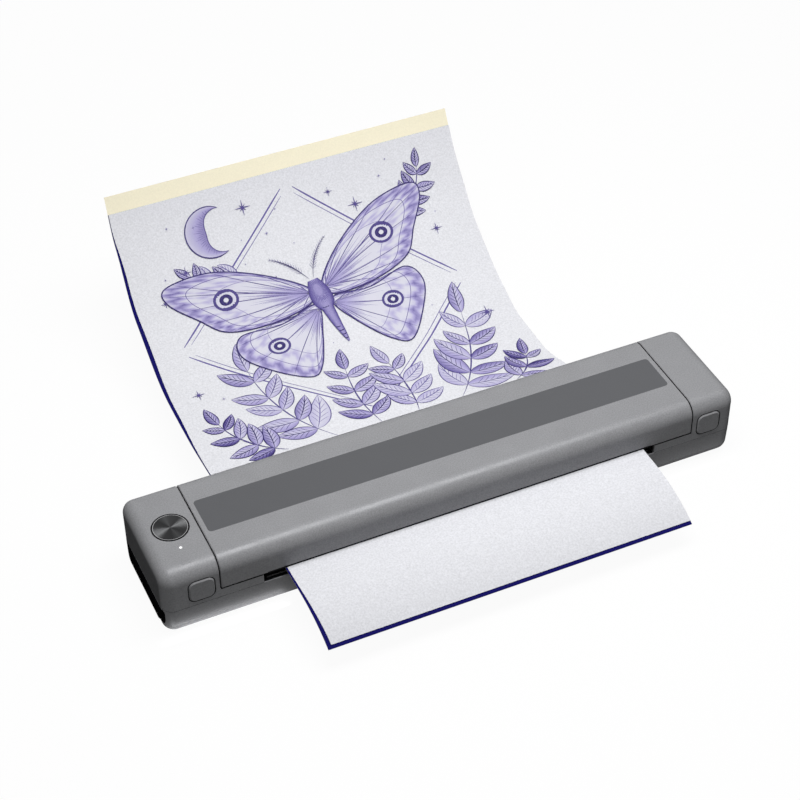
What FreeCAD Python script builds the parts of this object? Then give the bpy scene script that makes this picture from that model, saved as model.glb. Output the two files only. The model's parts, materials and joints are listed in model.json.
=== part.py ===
import FreeCAD, Part
import math
import os
import re
import Sketcher

# Portable thermal printer for tattoo stencil paper, in millimetres with +Z up.
# The origin lies on the table, under the middle of the paper's width and of the body's depth.
# +X runs along the body to its right end, and the front, where the printed sheet comes out, is at -Y.

Vector = FreeCAD.Vector
document = FreeCAD.newDocument("stencil_printer")

DRIVING = {
    # the housing
    "body_depth": 63.5,
    "split_height": 18.0,
    "slot_height": 6.0,
    "rear_slot_height": 7.0,
    "roof_gap": 4.575,
    "left_spare": 2.7,
    "right_bay": 21.0,
    "foot_height": 0.8,
    "foot_seat": 0.5,
    "wall": 2.0,
    "end_wall": 3.0,
    "nose_radius": 8.0,
    "tail_radius": 6.5,
    "hull_taper": 1.0,
    "end_radius": 6.5,
    "edge_softness": 0.4,
    "parting_groove": 0.3,
    "seam": 0.6,
    "rear_rail_gap": 1.0,
    "well_radius": 2.7,
    "well_depth": 1.2,
    "well_inset": 10.5,
    "foot_width": 8.0,
    "foot_length": 40.0,
    "foot_inset": 16.0,
    # the end panels
    "panel_margin": 7.6,
    "panel_foot": 4.8,
    "panel_drop": 2.2,
    "panel_thick": 1.6,
    "panel_bulge": 0.4,
    "panel_corner": 4.0,
    # the inlay band on the cover
    "inlay_margin": 3.0,
    "inlay_front": 10.3,
    "inlay_back": 13.6,
    "inlay_depth": 0.4,
    "inlay_corner": 2.0,
    # the cover's hinge
    "hinge_inset": 3.2,
    "hinge_drop": 7.0,
    "pin_radius": 1.5,
    "pin_boss": 1.4,
    "running_fit": 0.05,
    # the stencil sheet
    "sheet_width": 210.0,
    "sheet_length": 312.0,
    "header_strip": 10.0,
    "carbon_edge": 2.0,
    "ply": 0.25,
    "ply_gap": 0.05,
    "sheet_rise": 4.9,
    "flat_front": 45.0,
    "flat_rear": 100.0,
    "droop_radius": 86.0,
    "droop_angle": 26.4,
    "curl_radius": 130.0,
    # the platen roller and its gears
    "nip_gap": 0.15,
    "nip_offset": 8.0,
    "platen_radius": 6.0,
    "shaft_radius": 2.5,
    "bush_radius": 4.0,
    "notch_play": 0.6,
    "arm_gap": 1.2,
    "arm_thick": 3.0,
    "arm_play": 1.0,
    "frame_offset": 1.7,
    "frame_thick": 1.2,
    "frame_foot": 6.0,
    "gear_gap": 0.8,
    "gear_width": 4.0,
    "gear_module": 0.5,
    "platen_teeth": 28,
    "idler_teeth": 26,
    "pinion_teeth": 12,
    "backlash": 0.14,
    "motor_radius": 8.0,
    "motor_length": 9.8,
    "motor_gap": 0.7,
    "motor_shaft_radius": 1.0,
    "motor_bearing": 3.5,
    # the print head
    "head_margin": 5.0,
    "head_gap": 3.2,
    "head_toe": 1.0,
    "ceramic_width": 10.0,
    "ceramic_thick": 1.2,
    "sink_depth": 25.0,
    "sink_height": 6.0,
    "groove_pitch": 3.0,
    "groove_width": 1.4,
    "spring_strip": 0.4,
    # the paper guides
    "guide_inset": 5.25,
    "guide_thick": 2.2,
    "guide_gap": 1.0,
    "ledge_lap": 1.5,
    "ledge_thick": 1.6,
    # the power button
    "power_margin": 0.9,
    "power_offset": 1.0,
    "power_radius": 9.2,
    "power_gap": 0.35,
    "power_travel": 0.6,
    "power_tab": 1.0,
    "light_gap": 6.1,
    "light_radius": 1.0,
    # the release buttons and their latches
    "release_margin": 0.9,
    "release_width": 13.4,
    "release_height": 13.2,
    "release_rise": 9.4,
    "release_corner": 3.5,
    "release_gap": 0.35,
    "release_proud": 0.7,
    "release_travel": 2.0,
    "latch_inset": 9.75,
    "latch_width": 1.7,
    "latch_lift": 2.0,
    "latch_rise": 2.4,
    "latch_play": 0.3,
    "release_spring_length": 7.0,
    # the battery, the boards and the charging socket
    "battery_length": 100.0,
    "battery_gap": 2.2,
    "cell_radius": 3.0,
    "board_start": 22.0,
    "board_margin": 3.0,
    "board_thick": 1.6,
    "board_height": 5.0,
    "charge_height": 7.4,
    "socket_width": 9.0,
    "socket_height": 3.2,
}

PLACES = {
    # along the body, from the sheet outward to the ends
    "head_length": "sheet_width + 2 * head_margin",
    "frame_face": "head_length / 2 + head_gap",
    "frame_back": "frame_face + frame_thick",
    "slot_end": "frame_face - frame_offset",
    "arm_far": "frame_face - arm_play",
    "arm_near": "arm_far - arm_thick",
    "platen_end": "arm_near - arm_gap",
    "gear_near": "frame_back + gear_gap",
    "gear_far": "gear_near + gear_width",
    "plate_near": "gear_far + gear_gap",
    "plate_far": "plate_near + frame_thick",
    "motor_far": "plate_far + motor_length",
    "cover_bay": "motor_far + motor_gap",
    "cover_edge": "cover_bay + wall",
    "cover_end": "cover_edge + seam / 2",
    "block_edge": "cover_end + seam / 2",
    "block_bay": "block_edge + wall",
    "power_reach": "power_radius + power_tab + power_margin",
    "left_end": "-(block_bay + 2 * power_reach + left_spare + end_wall)",
    "right_end": "block_bay + right_bay + end_wall",
    "power_x": "-(block_bay + power_reach)",
    "release_x": "block_bay + release_margin + release_width / 2",
    "inlay_end": "cover_end - inlay_margin",
    "foot_spread": "cover_end - foot_inset",
    "board_end": "frame_face - board_margin",
    # up from the table
    "floor_top": "foot_height + wall",
    "lip": "split_height + slot_height",
    "rear_lip": "split_height + rear_slot_height",
    "guide_top": "split_height + guide_thick",
    "stack": "3 * ply",
    "sheet_height": "split_height + sheet_rise",
    "head_top": "sheet_height - stack / 2 - nip_gap",
    "sink_top": "head_top - ceramic_thick",
    "sink_bottom": "sink_top - sink_height",
    "pivot_z": "sink_top - sink_height / 2",
    "platen_z": "sheet_height + stack / 2 + nip_gap + platen_radius",
    "idler_z": "platen_z - gear_module * (platen_teeth + idler_teeth) / 2",
    "ceiling": "platen_z + platen_radius + roof_gap",
    "body_height": "ceiling + wall",
    "nose": "min(nose_radius; body_height - lip - edge_softness)",
    "tail": "min(tail_radius; body_height - rear_lip - edge_softness)",
    "hinge_height": "ceiling - hinge_drop",
    "release_centre": "split_height + release_rise",
    "latch_height": "lip + latch_lift",
    "latch_top": "latch_height + latch_rise",
    "battery_top": "split_height - battery_gap",
    "switch_board": "ceiling - 8",
    "board_top": "board_height + board_thick",
    "charge_top": "charge_height + board_thick",
    # from the front to the back
    "front": "-body_depth / 2",
    "back": "body_depth / 2",
    "hinge_y": "back - hinge_inset",
    "platen_y": "-nip_offset",
    "pinion_y": "platen_y + gear_module * (idler_teeth + pinion_teeth) / 2",
    "head_front": "platen_y - ceramic_width / 2 - head_toe",
    "head_back": "head_front + sink_depth",
    "pivot_y": "head_back - 2 * pin_radius",
    "power_y": "power_offset",
    "light_y": "power_y - power_radius - light_gap",
    "latch_y": "front + latch_inset",
    "latch_back": "latch_y + latch_width",
    "well_y": "body_depth / 2 - well_inset",
    "board_y": "(head_back + guide_gap + back - wall - hull_taper) / 2",
}


def fill_sheet(name, cells, prefix):
    """A spreadsheet with a name and a number, or a formula, in each row."""
    sheet = document.addObject("Spreadsheet::Sheet", name)
    for row, (alias, content) in enumerate(cells.items(), start=1):
        sheet.set(f"A{row}", alias)
        sheet.set(f"B{row}", prefix(content))
        sheet.setAlias(f"B{row}", alias)
    document.recompute()
    return sheet


def formula(text):
    """The text with each size or place written as the cell that holds it."""

    def cell(match):
        word = match.group(0)
        if word in DRIVING:
            return "Sizes." + word
        if word in PLACES:
            return "Places." + word
        return word

    return re.sub(r"[a-z_]+", cell, str(text))


sizes = fill_sheet("Sizes", DRIVING, str)
places = fill_sheet("Places", PLACES, lambda text: "=" + formula(text))


def value(text):
    """The number that a formula gives."""
    return float(places.evalExpression(formula(text)))


def sided(side, near, far):
    """A span that runs outward from the middle, on the left or the right side."""
    if side == "right":
        return near, far
    return f"-({far})", f"-({near})"


def on_side(side, place):
    """A place that lies outward from the middle, on the left or the right side."""
    return place if side == "right" else f"-({place})"


def bind(item, settings):
    """Ties properties of a document object to formulas."""
    for name, text in settings.items():
        item.setExpression(name, formula(text))


def box(name, x, y, z):
    """A block between two planes along each axis."""
    block = document.addObject("Part::Box", name)
    for span, length, axis in zip((x, y, z), ("Length", "Width", "Height"), "xyz"):
        bind(block, {length: f"({span[1]}) - ({span[0]})", "Placement.Base." + axis: span[0]})
    return block


TURN = {
    "x": FreeCAD.Rotation(Vector(0, 1, 0), 90),
    "y": FreeCAD.Rotation(Vector(1, 0, 0), -90),
    "z": FreeCAD.Rotation(),
}


def rod(name, along, centre, span, radius):
    """A cylinder along an axis; the centre is given on the two other axes."""
    cylinder = document.addObject("Part::Cylinder", name)
    cylinder.Placement = FreeCAD.Placement(Vector(), TURN[along])
    across = [axis for axis in "xyz" if axis != along]
    bind(cylinder, {
        "Radius": radius,
        "Height": f"({span[1]}) - ({span[0]})",
        "Placement.Base." + along: span[0],
        "Placement.Base." + across[0]: centre[0],
        "Placement.Base." + across[1]: centre[1],
    })
    return cylinder


def fuse(name, *pieces):
    """One solid from pieces that touch or overlap."""
    joined = document.addObject("Part::MultiFuse", name)
    joined.Shapes = list(pieces)
    joined.Refine = True
    return joined


def cut(name, base, *tools):
    """The base without the tools."""
    remainder = document.addObject("Part::Cut", name)
    remainder.Base = base
    remainder.Tool = tools[0] if len(tools) == 1 else fuse(name + "_tools", *tools)
    remainder.Refine = True
    return remainder


def group(name, *pieces):
    """Like pieces that share a node."""
    gathered = document.addObject("Part::Compound", name)
    gathered.Links = list(pieces)
    return gathered


def dress(body, kind, measure, size, chosen):
    """Adds a fillet or a chamfer along the edges of a body that the test picks."""
    last = body.Tip
    names = [f"Edge{i}" for i, edge in enumerate(last.Shape.Edges, start=1) if chosen(edge)]
    dressing = body.newObject(kind, body.Name + "_edge")
    dressing.Base = (last, names)
    bind(dressing, {measure: size})
    body.Tip = dressing
    document.recompute()


def soften(body, radius, chosen):
    """Rounds the chosen edges."""
    dress(body, "PartDesign::Fillet", "Radius", radius, chosen)


def bevel(body, size, chosen):
    """Breaks the chosen edges with a flat."""
    dress(body, "PartDesign::Chamfer", "Size", size, chosen)


PLANES = {"xy": "XY_Plane", "xz": "XZ_Plane", "yz": "YZ_Plane"}


def prism(name, plane, outline, span):
    """A body padded from an outline on an origin plane; a third entry in a corner is its radius."""
    body = document.addObject("PartDesign::Body", name)
    sketch = body.newObject("Sketcher::SketchObject", name + "_outline")
    support = [item for item in body.Origin.OriginFeatures if item.Role == PLANES[plane]][0]
    sketch.AttachmentSupport = [(support, "")]
    sketch.MapMode = "FlatFace"
    points = [Vector(value(corner[0]), value(corner[1]), 0) for corner in outline]
    count = len(points)
    for i in range(count):
        sketch.addGeometry(Part.LineSegment(points[i], points[(i + 1) % count]), False)
    for i in range(count):
        sketch.addConstraint(Sketcher.Constraint("Coincident", i, 2, (i + 1) % count, 1))
    for i, corner in enumerate(outline):
        across = ("DistanceX", corner[0], points[i].x)
        upward = ("DistanceY", corner[1], points[i].y)
        for kind, text, number in (across, upward):
            rule = sketch.addConstraint(Sketcher.Constraint(kind, -1, 1, i, 1, number))
            bind(sketch, {f"Constraints[{rule}]": text})
    # the front plane faces -Y, so its pad runs from the span's far end to its near end
    start = f"-({span[1]})" if plane == "xz" else span[0]
    bind(sketch, {"AttachmentOffset.Base.z": start})
    pad = body.newObject("PartDesign::Pad", name + "_pad")
    pad.Profile = sketch
    bind(pad, {"Length": f"({span[1]}) - ({span[0]})"})
    body.Tip = pad
    document.recompute()
    axes = ["xyz".index(letter) for letter in plane]
    for radius in dict.fromkeys(corner[2] for corner in outline if len(corner) > 2):
        spots = [points[i] for i, corner in enumerate(outline) if len(corner) > 2 and corner[2] == radius]

        def at_corner(edge):
            ends = [vertex.Point for vertex in edge.Vertexes]
            return len(ends) == 2 and any(
                all(math.hypot(end[axes[0]] - spot.x, end[axes[1]] - spot.y) < 1e-4 for end in ends)
                for spot in spots
            )

        soften(body, radius, at_corner)
    return body


def solid_item(name, shape):
    """A document object that holds a shape built from curves."""
    item = document.addObject("Part::Feature", name)
    item.Shape = shape
    return item


# Housing: a lower case, an end housing at each end and the hinged cover between them.


def upper_form(name, span, bottom, rear_bottom, inset):
    """A length of the housing's upper section, or of the space a given wall inside it."""
    return prism(name, "yz", [
        (f"front + {inset}", bottom),
        (f"back - {inset}", rear_bottom),
        (f"back - {inset}", f"body_height - {inset}", f"tail - {inset}"),
        (f"front + {inset}", f"body_height - {inset}", f"nose - {inset}"),
    ], span)


def end_edges(place, lowest):
    """A test for the edges of an end face that lie above a height."""
    x = value(place)
    z = value(lowest)
    return lambda edge: (
        abs(edge.BoundBox.XMin - x) < 1e-3
        and abs(edge.BoundBox.XMax - x) < 1e-3
        and edge.BoundBox.ZMax > z + 1e-3
    )


def panel_plate(name, span, growth):
    """The outline of an end panel, grown all round, over a span of x."""
    return prism(name, "yz", [
        (f"front + panel_margin - {growth}", f"foot_height + panel_foot - {growth}", "panel_corner"),
        (f"back - panel_margin + {growth}", f"foot_height + panel_foot - {growth}", "panel_corner"),
        (f"back - panel_margin + {growth}", f"split_height - panel_drop + {growth}", "panel_corner"),
        (f"front + panel_margin - {growth}", f"split_height - panel_drop + {growth}", "panel_corner"),
    ], span)


def end_span(side, inward, outward):
    """A span of x measured from an end face: inward into the body and outward past it."""
    if side == "right":
        return f"right_end - {inward}", f"right_end + {outward}"
    return f"left_end - {outward}", f"left_end + {inward}"


SIDES = ("left", "right")
FOOT_PLACES = ("-foot_spread", "0", "foot_spread")
SPRING_PLACES = ("-head_length / 4", "head_length / 4")
BOARD_POSTS = ("board_start + 12", "board_end - 12")
CHARGE_POSTS = ("right_end - 8", "right_end - 15")


def foot_pad(name, x, low, high):
    """One of the strips that run across the floor."""
    along = (f"{x} - foot_width / 2", f"{x} + foot_width / 2")
    return box(name, along, ("-foot_length / 2", "foot_length / 2"), (low, high))


def socket_slot(name, growth, span):
    """The rounded opening round the charging socket."""
    y_low = f"-socket_width / 2 - ({growth})"
    y_high = f"socket_width / 2 + ({growth})"
    z_low = f"charge_top - ({growth})"
    z_high = f"charge_top + socket_height + ({growth})"
    radius = f"socket_height / 2 + ({growth}) - 0.1"
    return prism(name, "yz", [
        (y_low, z_low, radius),
        (y_high, z_low, radius),
        (y_high, z_high, radius),
        (y_low, z_high, radius),
    ], span)


def make_lower_case():
    """The tray: floor, tapered walls, a parting groove, ledges, screw wells and posts for the boards."""
    form = prism("case_form", "yz", [
        ("front", "split_height"),
        ("front + hull_taper", "foot_height"),
        ("back - hull_taper", "foot_height"),
        ("back", "split_height"),
    ], ("left_end", "right_end"))
    top = value("split_height")
    ends = (value("left_end"), value("right_end"))

    def outer_edge(edge):
        frame = edge.BoundBox
        at_end = frame.XLength < 1e-3 and min(abs(frame.XMin - end) for end in ends) < 1e-3
        return frame.ZMin < top - 1e-3 and (at_end or frame.XLength > (ends[1] - ends[0]) / 2)

    soften(form, "end_radius", outer_edge)
    bevel(form, "parting_groove", lambda edge: edge.BoundBox.ZMin > top - 1e-3)
    bay = prism("case_bay", "yz", [
        ("front + wall", "split_height + 1"),
        ("front + wall", "split_height"),
        ("front + wall + hull_taper", "floor_top", "end_radius - wall"),
        ("back - wall - hull_taper", "floor_top", "end_radius - wall"),
        ("back - wall", "split_height"),
        ("back - wall", "split_height + 1"),
    ], ("left_end + end_wall", "right_end - end_wall"))
    solids = [cut("case_tray", form, bay)]
    holes = []
    ledge_x = ("-slot_end", "slot_end")
    ledge_z = ("split_height - ledge_thick", "split_height")
    front_ledge = ("front + wall / 2", "front + guide_inset + ledge_lap")
    rear_ledge = ("back - guide_inset - ledge_lap", "back - wall / 2")
    solids.append(box("case_front_ledge", ledge_x, front_ledge, ledge_z))
    solids.append(box("case_rear_ledge", ledge_x, rear_ledge, ledge_z))
    for side in SIDES:
        x = "right_end - well_inset" if side == "right" else "left_end + well_inset"
        well_z = ("0", "foot_height + well_depth")
        for i, y in enumerate(("-well_y", "well_y")):
            holes.append(rod(f"case_{side}_well_{i}", "z", (x, y), well_z, "well_radius"))
        holes.append(panel_plate(f"case_{side}_recess", end_span(side, "panel_thick", "2"), "0.1"))
    for i, x in enumerate(BOARD_POSTS):
        post = ("foot_height + wall / 2", "board_height")
        solids.append(box(f"case_post_{i}", (f"{x} - 1", f"{x} + 1"), ("board_y - 3", "board_y + 3"), post))
    for i, x in enumerate(CHARGE_POSTS):
        post = ("foot_height + wall / 2", "charge_height")
        solids.append(box(f"case_charge_post_{i}", (f"{x} - 1", f"{x} + 1"), ("-5", "5"), post))
    for i, x in enumerate(FOOT_PLACES):
        holes.append(foot_pad(f"case_foot_seat_{i}", x, "0", "foot_height + foot_seat"))
    holes.append(socket_slot("case_socket_hole", "0.3", ("right_end - end_wall - 1", "right_end + 1")))
    return cut("lower_case", fuse("case_solids", *solids), *holes)


def make_end_housing(side):
    """An end block with its rails under the cover, button opening, latch window, pin hole and bosses."""
    outer_end = "right_end" if side == "right" else "left_end"
    bay_end = "right_end - end_wall" if side == "right" else "left_end + end_wall"
    inner = on_side(side, "block_edge")
    span = (inner, outer_end) if side == "right" else (outer_end, inner)
    name = side + "_block"
    form = upper_form(name, span, "split_height", "split_height", "0")
    soften(form, "end_radius", end_edges(outer_end, "split_height"))
    bevel(form, "edge_softness", end_edges(inner, "split_height"))
    bay_inner = on_side(side, "block_bay")
    bay_span = (bay_inner, bay_end) if side == "right" else (bay_end, bay_inner)
    bay = upper_form(name + "_bay", bay_span, "split_height - 1", "split_height - 1", "wall")
    solids = [cut(name + "_shell", form, bay)]
    rail = sided(side, "slot_end", "block_edge + wall / 2")
    front_rail_z = ("split_height", "lip - seam")
    rear_rail_z = ("split_height", "rear_lip - rear_rail_gap")
    solids.append(box(name + "_front_rail", rail, ("front", "front + wall"), front_rail_z))
    solids.append(box(name + "_rear_rail", rail, ("back - wall", "back"), rear_rail_z))
    rest = sided(side, "block_edge + wall / 2", "release_x + 4")
    spring_end = "latch_back + release_spring_length"
    rest_z = ("latch_height - 1.5", "latch_top + 1")
    solids.append(box(name + "_spring_rest", rest, (spring_end, spring_end + " + 1.5"), rest_z))
    holes = []
    opening_x = "release_width / 2 + release_gap"
    opening_z = "release_height / 2 + release_gap"
    middle = on_side(side, "release_x")
    corner = "release_corner + release_gap"
    holes.append(prism(name + "_button_hole", "xz", [
        (f"{middle} - ({opening_x})", f"release_centre - ({opening_z})", corner),
        (f"{middle} + ({opening_x})", f"release_centre - ({opening_z})", corner),
        (f"{middle} + ({opening_x})", f"release_centre + ({opening_z})", corner),
        (f"{middle} - ({opening_x})", f"release_centre + ({opening_z})", corner),
    ], ("front - 3", "front + wall + 3")))
    window = sided(side, "block_edge - 1", "block_bay + 0.5")
    holes.append(box(
        name + "_latch_window", window,
        ("latch_y - latch_play", "latch_back + release_travel + latch_play"),
        ("latch_height - latch_play", "latch_top + latch_play"),
    ))
    hinge = ("hinge_y", "hinge_height")
    boss_span = sided(side, "block_edge + wall / 2", "block_bay + pin_boss")
    pin_span = sided(side, "block_edge - 1", "block_bay + 2 * pin_boss")
    solids.append(rod(name + "_pin_boss", "x", hinge, boss_span, "pin_radius + pin_boss"))
    holes.append(rod(name + "_pin_hole", "x", hinge, pin_span, "pin_radius"))
    if side == "left":
        roof = ("ceiling - 1", "body_height + 1")
        holes.append(rod("power_hole", "z", ("power_x", "power_y"), roof, "power_radius + power_gap"))
        holes.append(rod("light_hole", "z", ("power_x", "light_y"), roof, "light_radius"))
        post = ("switch_board + 1.4", "ceiling + wall / 2")
        outer_x = ("left_end + end_wall - 0.1", "left_end + end_wall + 3")
        outer_y = ("power_y + power_radius + 0.3", "power_y + power_radius + 1.8")
        solids.append(box("switch_outer_post", outer_x, outer_y, (post[0], "ceiling + 0.3")))
        inner_x = ("-(block_bay + 2.6)", "-(block_edge + wall / 2)")
        solids.append(box("switch_inner_post", inner_x, ("light_y - 1.5", "light_y + 1"), post))
    return cut(side + "_end_housing", fuse(name + "_solids", *solids), *holes)


def make_end_panel(side):
    """A black plate set into an end face; the right one has the charging opening."""
    plate = panel_plate(side + "_panel_plate", end_span(side, "panel_thick", "panel_bulge"), "0")
    face = "right_end + panel_bulge" if side == "right" else "left_end - panel_bulge"
    bevel(plate, "panel_bulge", end_edges(face, "0"))
    if side == "left":
        plate.Label = "left_end_panel"
        return plate
    through = ("right_end - panel_thick - 1", "right_end + panel_bulge + 1")
    hole = socket_slot("panel_socket_hole", "0.2", through)
    return cut("right_end_panel", plate, hole)


def inlay_form(name, top):
    """The band on the cover's top, from its seat up to a height."""
    return prism(name, "xy", [
        ("-inlay_end", "-inlay_front", "inlay_corner"),
        ("inlay_end", "-inlay_front", "inlay_corner"),
        ("inlay_end", "inlay_back", "inlay_corner"),
        ("-inlay_end", "inlay_back", "inlay_corner"),
    ], ("body_height - inlay_depth", top))


def make_top_cover():
    """The hinged cover: skin, end walls with latch keepers, roller arms and stiffening ribs."""
    form = upper_form("cover_form", ("-cover_edge", "cover_edge"), "lip", "rear_lip", "0")
    for place in ("-cover_edge", "cover_edge"):
        bevel(form, "edge_softness", end_edges(place, "rear_lip"))
    bay = upper_form("cover_bay_form", ("-cover_bay", "cover_bay"), "lip - 1", "lip - 1", "wall")
    solids = [cut("cover_shell", form, bay)]
    holes = []
    arm_y = ("platen_y - bush_radius - 2", "platen_y + bush_radius + 2")
    arm_z = ("platen_z - bush_radius - 1", "ceiling + wall / 2")
    keeper_y = ("latch_y - latch_play", "latch_back + release_travel + latch_play")
    keeper_z = ("latch_height - latch_play", "latch_top + latch_play")
    channel_y = ("latch_y + release_travel - latch_play / 2", "latch_back + release_travel + latch_play")
    channel_z = ("lip - 1", "latch_top")
    for side in SIDES:
        name = "cover_" + side
        solids.append(box(name + "_arm", sided(side, "arm_near", "arm_far"), arm_y, arm_z))
        through_arm = sided(side, "arm_near - 1", "arm_far + 1")
        through_wall = sided(side, "cover_bay - 1", "cover_edge + 1")
        pin_bore = "pin_radius + running_fit"
        holes.append(rod(name + "_bush_hole", "x", ("platen_y", "platen_z"), through_arm, "bush_radius"))
        holes.append(rod(name + "_pin_hole", "x", ("hinge_y", "hinge_height"), through_wall, pin_bore))
        holes.append(box(name + "_keeper", through_wall, keeper_y, keeper_z))
        holes.append(box(name + "_channel", through_wall, channel_y, channel_z))
    rib_y = ("front + nose", "back - tail")
    rib_z = ("ceiling - 2", "ceiling + wall / 2")
    for i in range(5):
        x = f"(platen_end - 14) * {(i - 2) / 2}"
        solids.append(box(f"cover_rib_{i}", (f"{x} - 0.7", f"{x} + 0.7"), rib_y, rib_z))
    holes.append(inlay_form("inlay_recess", "body_height + 1"))
    return cut("top_cover", fuse("cover_solids", *solids), *holes)


# Feed: platen roller in the cover, side frames, gears and motor in the case.


def make_side_frame(side):
    """A steel cheek with an open notch for the roller's bush and a foot that is screwed to the floor."""
    span = sided(side, "frame_face", "frame_back")
    name = side + "_frame"
    cheek = prism(name + "_cheek", "yz", [
        ("platen_y - 14", "floor_top"),
        ("pivot_y + 4", "floor_top"),
        ("pivot_y + 4", "pivot_z + 4"),
        ("platen_y + bush_radius + 5", "platen_z + 3"),
        ("platen_y - bush_radius - 5", "platen_z + 3"),
        ("platen_y - 14", "platen_z - 4"),
    ], span)
    foot_x = sided(side, "frame_face - frame_foot", "frame_face + frame_thick / 2")
    foot_y = ("platen_y - 13", "platen_y - 7")
    foot = box(name + "_foot", foot_x, foot_y, ("floor_top", "floor_top + frame_thick"))
    wide = sided(side, "frame_face - 1", "frame_back + 1")
    round_notch = rod(name + "_notch", "x", ("platen_y", "platen_z"), wide, "bush_radius + notch_play")
    notch = ("platen_y - bush_radius - notch_play", "platen_y + bush_radius + notch_play")
    open_notch = box(name + "_mouth", wide, notch, ("platen_z", "platen_z + 9"))
    holes = [round_notch, open_notch]
    holes.append(rod(name + "_pivot_hole", "x", ("pivot_y", "pivot_z"), wide, "pin_radius"))
    if side == "left":
        holes.append(rod(name + "_axle_hole", "x", ("platen_y", "idler_z"), wide, "pin_radius"))
    return cut(side + "_side_frame", fuse(name + "_blank", cheek, foot), *holes)


def make_gear_plate():
    """The plate that carries the motor and the idler's axle."""
    span = ("-plate_far", "-plate_near")
    plate = prism("gear_plate_blank", "yz", [
        ("platen_y - 9", "floor_top"),
        ("pinion_y + motor_radius + 2", "floor_top"),
        ("pinion_y + motor_radius + 2", "idler_z + motor_radius - 2"),
        ("platen_y - 9", "idler_z + motor_radius - 2"),
    ], span)
    wide = ("-plate_far - 1", "-plate_near + 1")
    shaft_hole = rod("gear_plate_shaft_hole", "x", ("pinion_y", "idler_z"), wide, "motor_shaft_radius + 1.2")
    axle_hole = rod("gear_plate_axle_hole", "x", ("platen_y", "idler_z"), wide, "pin_radius")
    return cut("gear_plate", plate, shaft_hole, axle_hole)


def make_feed_motor():
    """A round stepping motor behind the gear plate, with a terminal block under it."""
    axis = ("pinion_y", "idler_z")
    can = rod("motor_can", "x", axis, ("-motor_far", "-plate_far"), "motor_radius")
    block_z = ("idler_z - motor_radius - 1.6", "idler_z - motor_radius + 2")
    block_x = ("-motor_far + 2", "-motor_far + 8")
    block = box("motor_terminals", block_x, ("pinion_y - 5", "pinion_y + 5"), block_z)
    bore_x = ("-plate_far - motor_bearing - 0.5", "-plate_far + 1")
    bore = rod("motor_bore", "x", axis, bore_x, "motor_shaft_radius + running_fit")
    return cut("feed_motor", fuse("motor_body", can, block), bore)


PRESSURE_ANGLE = math.radians(25)
ADDENDUM = 0.8
DEDENDUM = 1.0


def gear_outline(teeth, phase):
    """The closed outline of a spur gear with a tooth at the phase angle, in the YZ plane."""
    module = value("gear_module")
    pitch_radius = module * teeth / 2
    base_radius = pitch_radius * math.cos(PRESSURE_ANGLE)
    tip_radius = pitch_radius + ADDENDUM * module
    root_radius = pitch_radius - DEDENDUM * module
    half_tooth = math.pi / (2 * teeth) - value("backlash") / (2 * pitch_radius)
    rise = math.tan(PRESSURE_ANGLE) - PRESSURE_ANGLE

    def half_angle(radius):
        slope = math.acos(min(1, base_radius / radius))
        return half_tooth + rise - (math.tan(slope) - slope)

    def spot(radius, angle):
        return Vector(0, radius * math.cos(angle), radius * math.sin(angle))

    flank_low = max(base_radius, root_radius)
    points = []
    for i in range(teeth):
        middle = phase + 2 * math.pi * i / teeth
        points.append(spot(root_radius, middle - half_angle(flank_low)))
        for radius in (flank_low, tip_radius):
            points.append(spot(radius, middle - half_angle(radius)))
        for radius in (tip_radius, flank_low):
            points.append(spot(radius, middle + half_angle(radius)))
        points.append(spot(root_radius, middle + half_angle(flank_low)))
    return Part.makePolygon(points + points[:1])


def make_gear(name, teeth, phase, bore, y, z):
    """A spur gear on the left of the side frame, with a bore for its shaft."""
    width = value("gear_width")
    blank = Part.Face(gear_outline(int(value(teeth)), phase)).extrude(Vector(width, 0, 0))
    hole = Part.makeCylinder(value(bore), width, Vector(), Vector(1, 0, 0))
    item = solid_item(name, blank.cut(hole))
    bind(item, {"Placement.Base.x": "-gear_far", "Placement.Base.y": y, "Placement.Base.z": z})
    return item


def make_gears():
    """The gear train in mesh: the idler has a tooth straight up, and its mates turn to suit it."""
    idler_count = int(value("idler_teeth"))
    idler_phase = math.pi / 2
    platen_phase = -math.pi / 2 + math.pi / int(value("platen_teeth"))
    step = 2 * math.pi / idler_count
    # the pinion has a gap where an idler tooth points at it, and a tooth where an idler gap does
    share = ((0 - idler_phase) / step) % 1.0
    pinion_step = 2 * math.pi / int(value("pinion_teeth"))
    pinion_phase = math.pi + pinion_step * (share + 0.5)
    make_gear("platen_gear", "platen_teeth", platen_phase, "shaft_radius", "platen_y", "platen_z")
    make_gear("idler_gear", "idler_teeth", idler_phase, "pin_radius + running_fit", "platen_y", "idler_z")
    make_gear("motor_pinion", "pinion_teeth", pinion_phase, "motor_shaft_radius", "pinion_y", "idler_z")


def make_platen():
    """The rubber feed roller on its shaft, with a plain bush in each arm of the cover."""
    centre = ("platen_y", "platen_z")
    rod("platen_shaft", "x", centre, ("-gear_far - 0.3", "frame_back + 0.6"), "shaft_radius")
    sleeve = rod("platen_sleeve", "x", centre, ("-platen_end", "platen_end"), "platen_radius")
    core = rod("platen_core", "x", centre, ("-frame_face", "frame_face"), "shaft_radius")
    cut("platen_rubber", sleeve, core)
    for side in SIDES:
        span = sided(side, "arm_near", "frame_back")
        barrel = rod(f"{side}_bush_barrel", "x", centre, span, "bush_radius")
        through = sided(side, "arm_near - 1", "frame_back + 1")
        bore = rod(f"{side}_bush_bore", "x", centre, through, "shaft_radius + running_fit")
        cut(f"{side}_platen_bush", barrel, bore)


# Print head: a ceramic strip on a heat sink that tips on a rod and is pressed up by springs.


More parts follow.
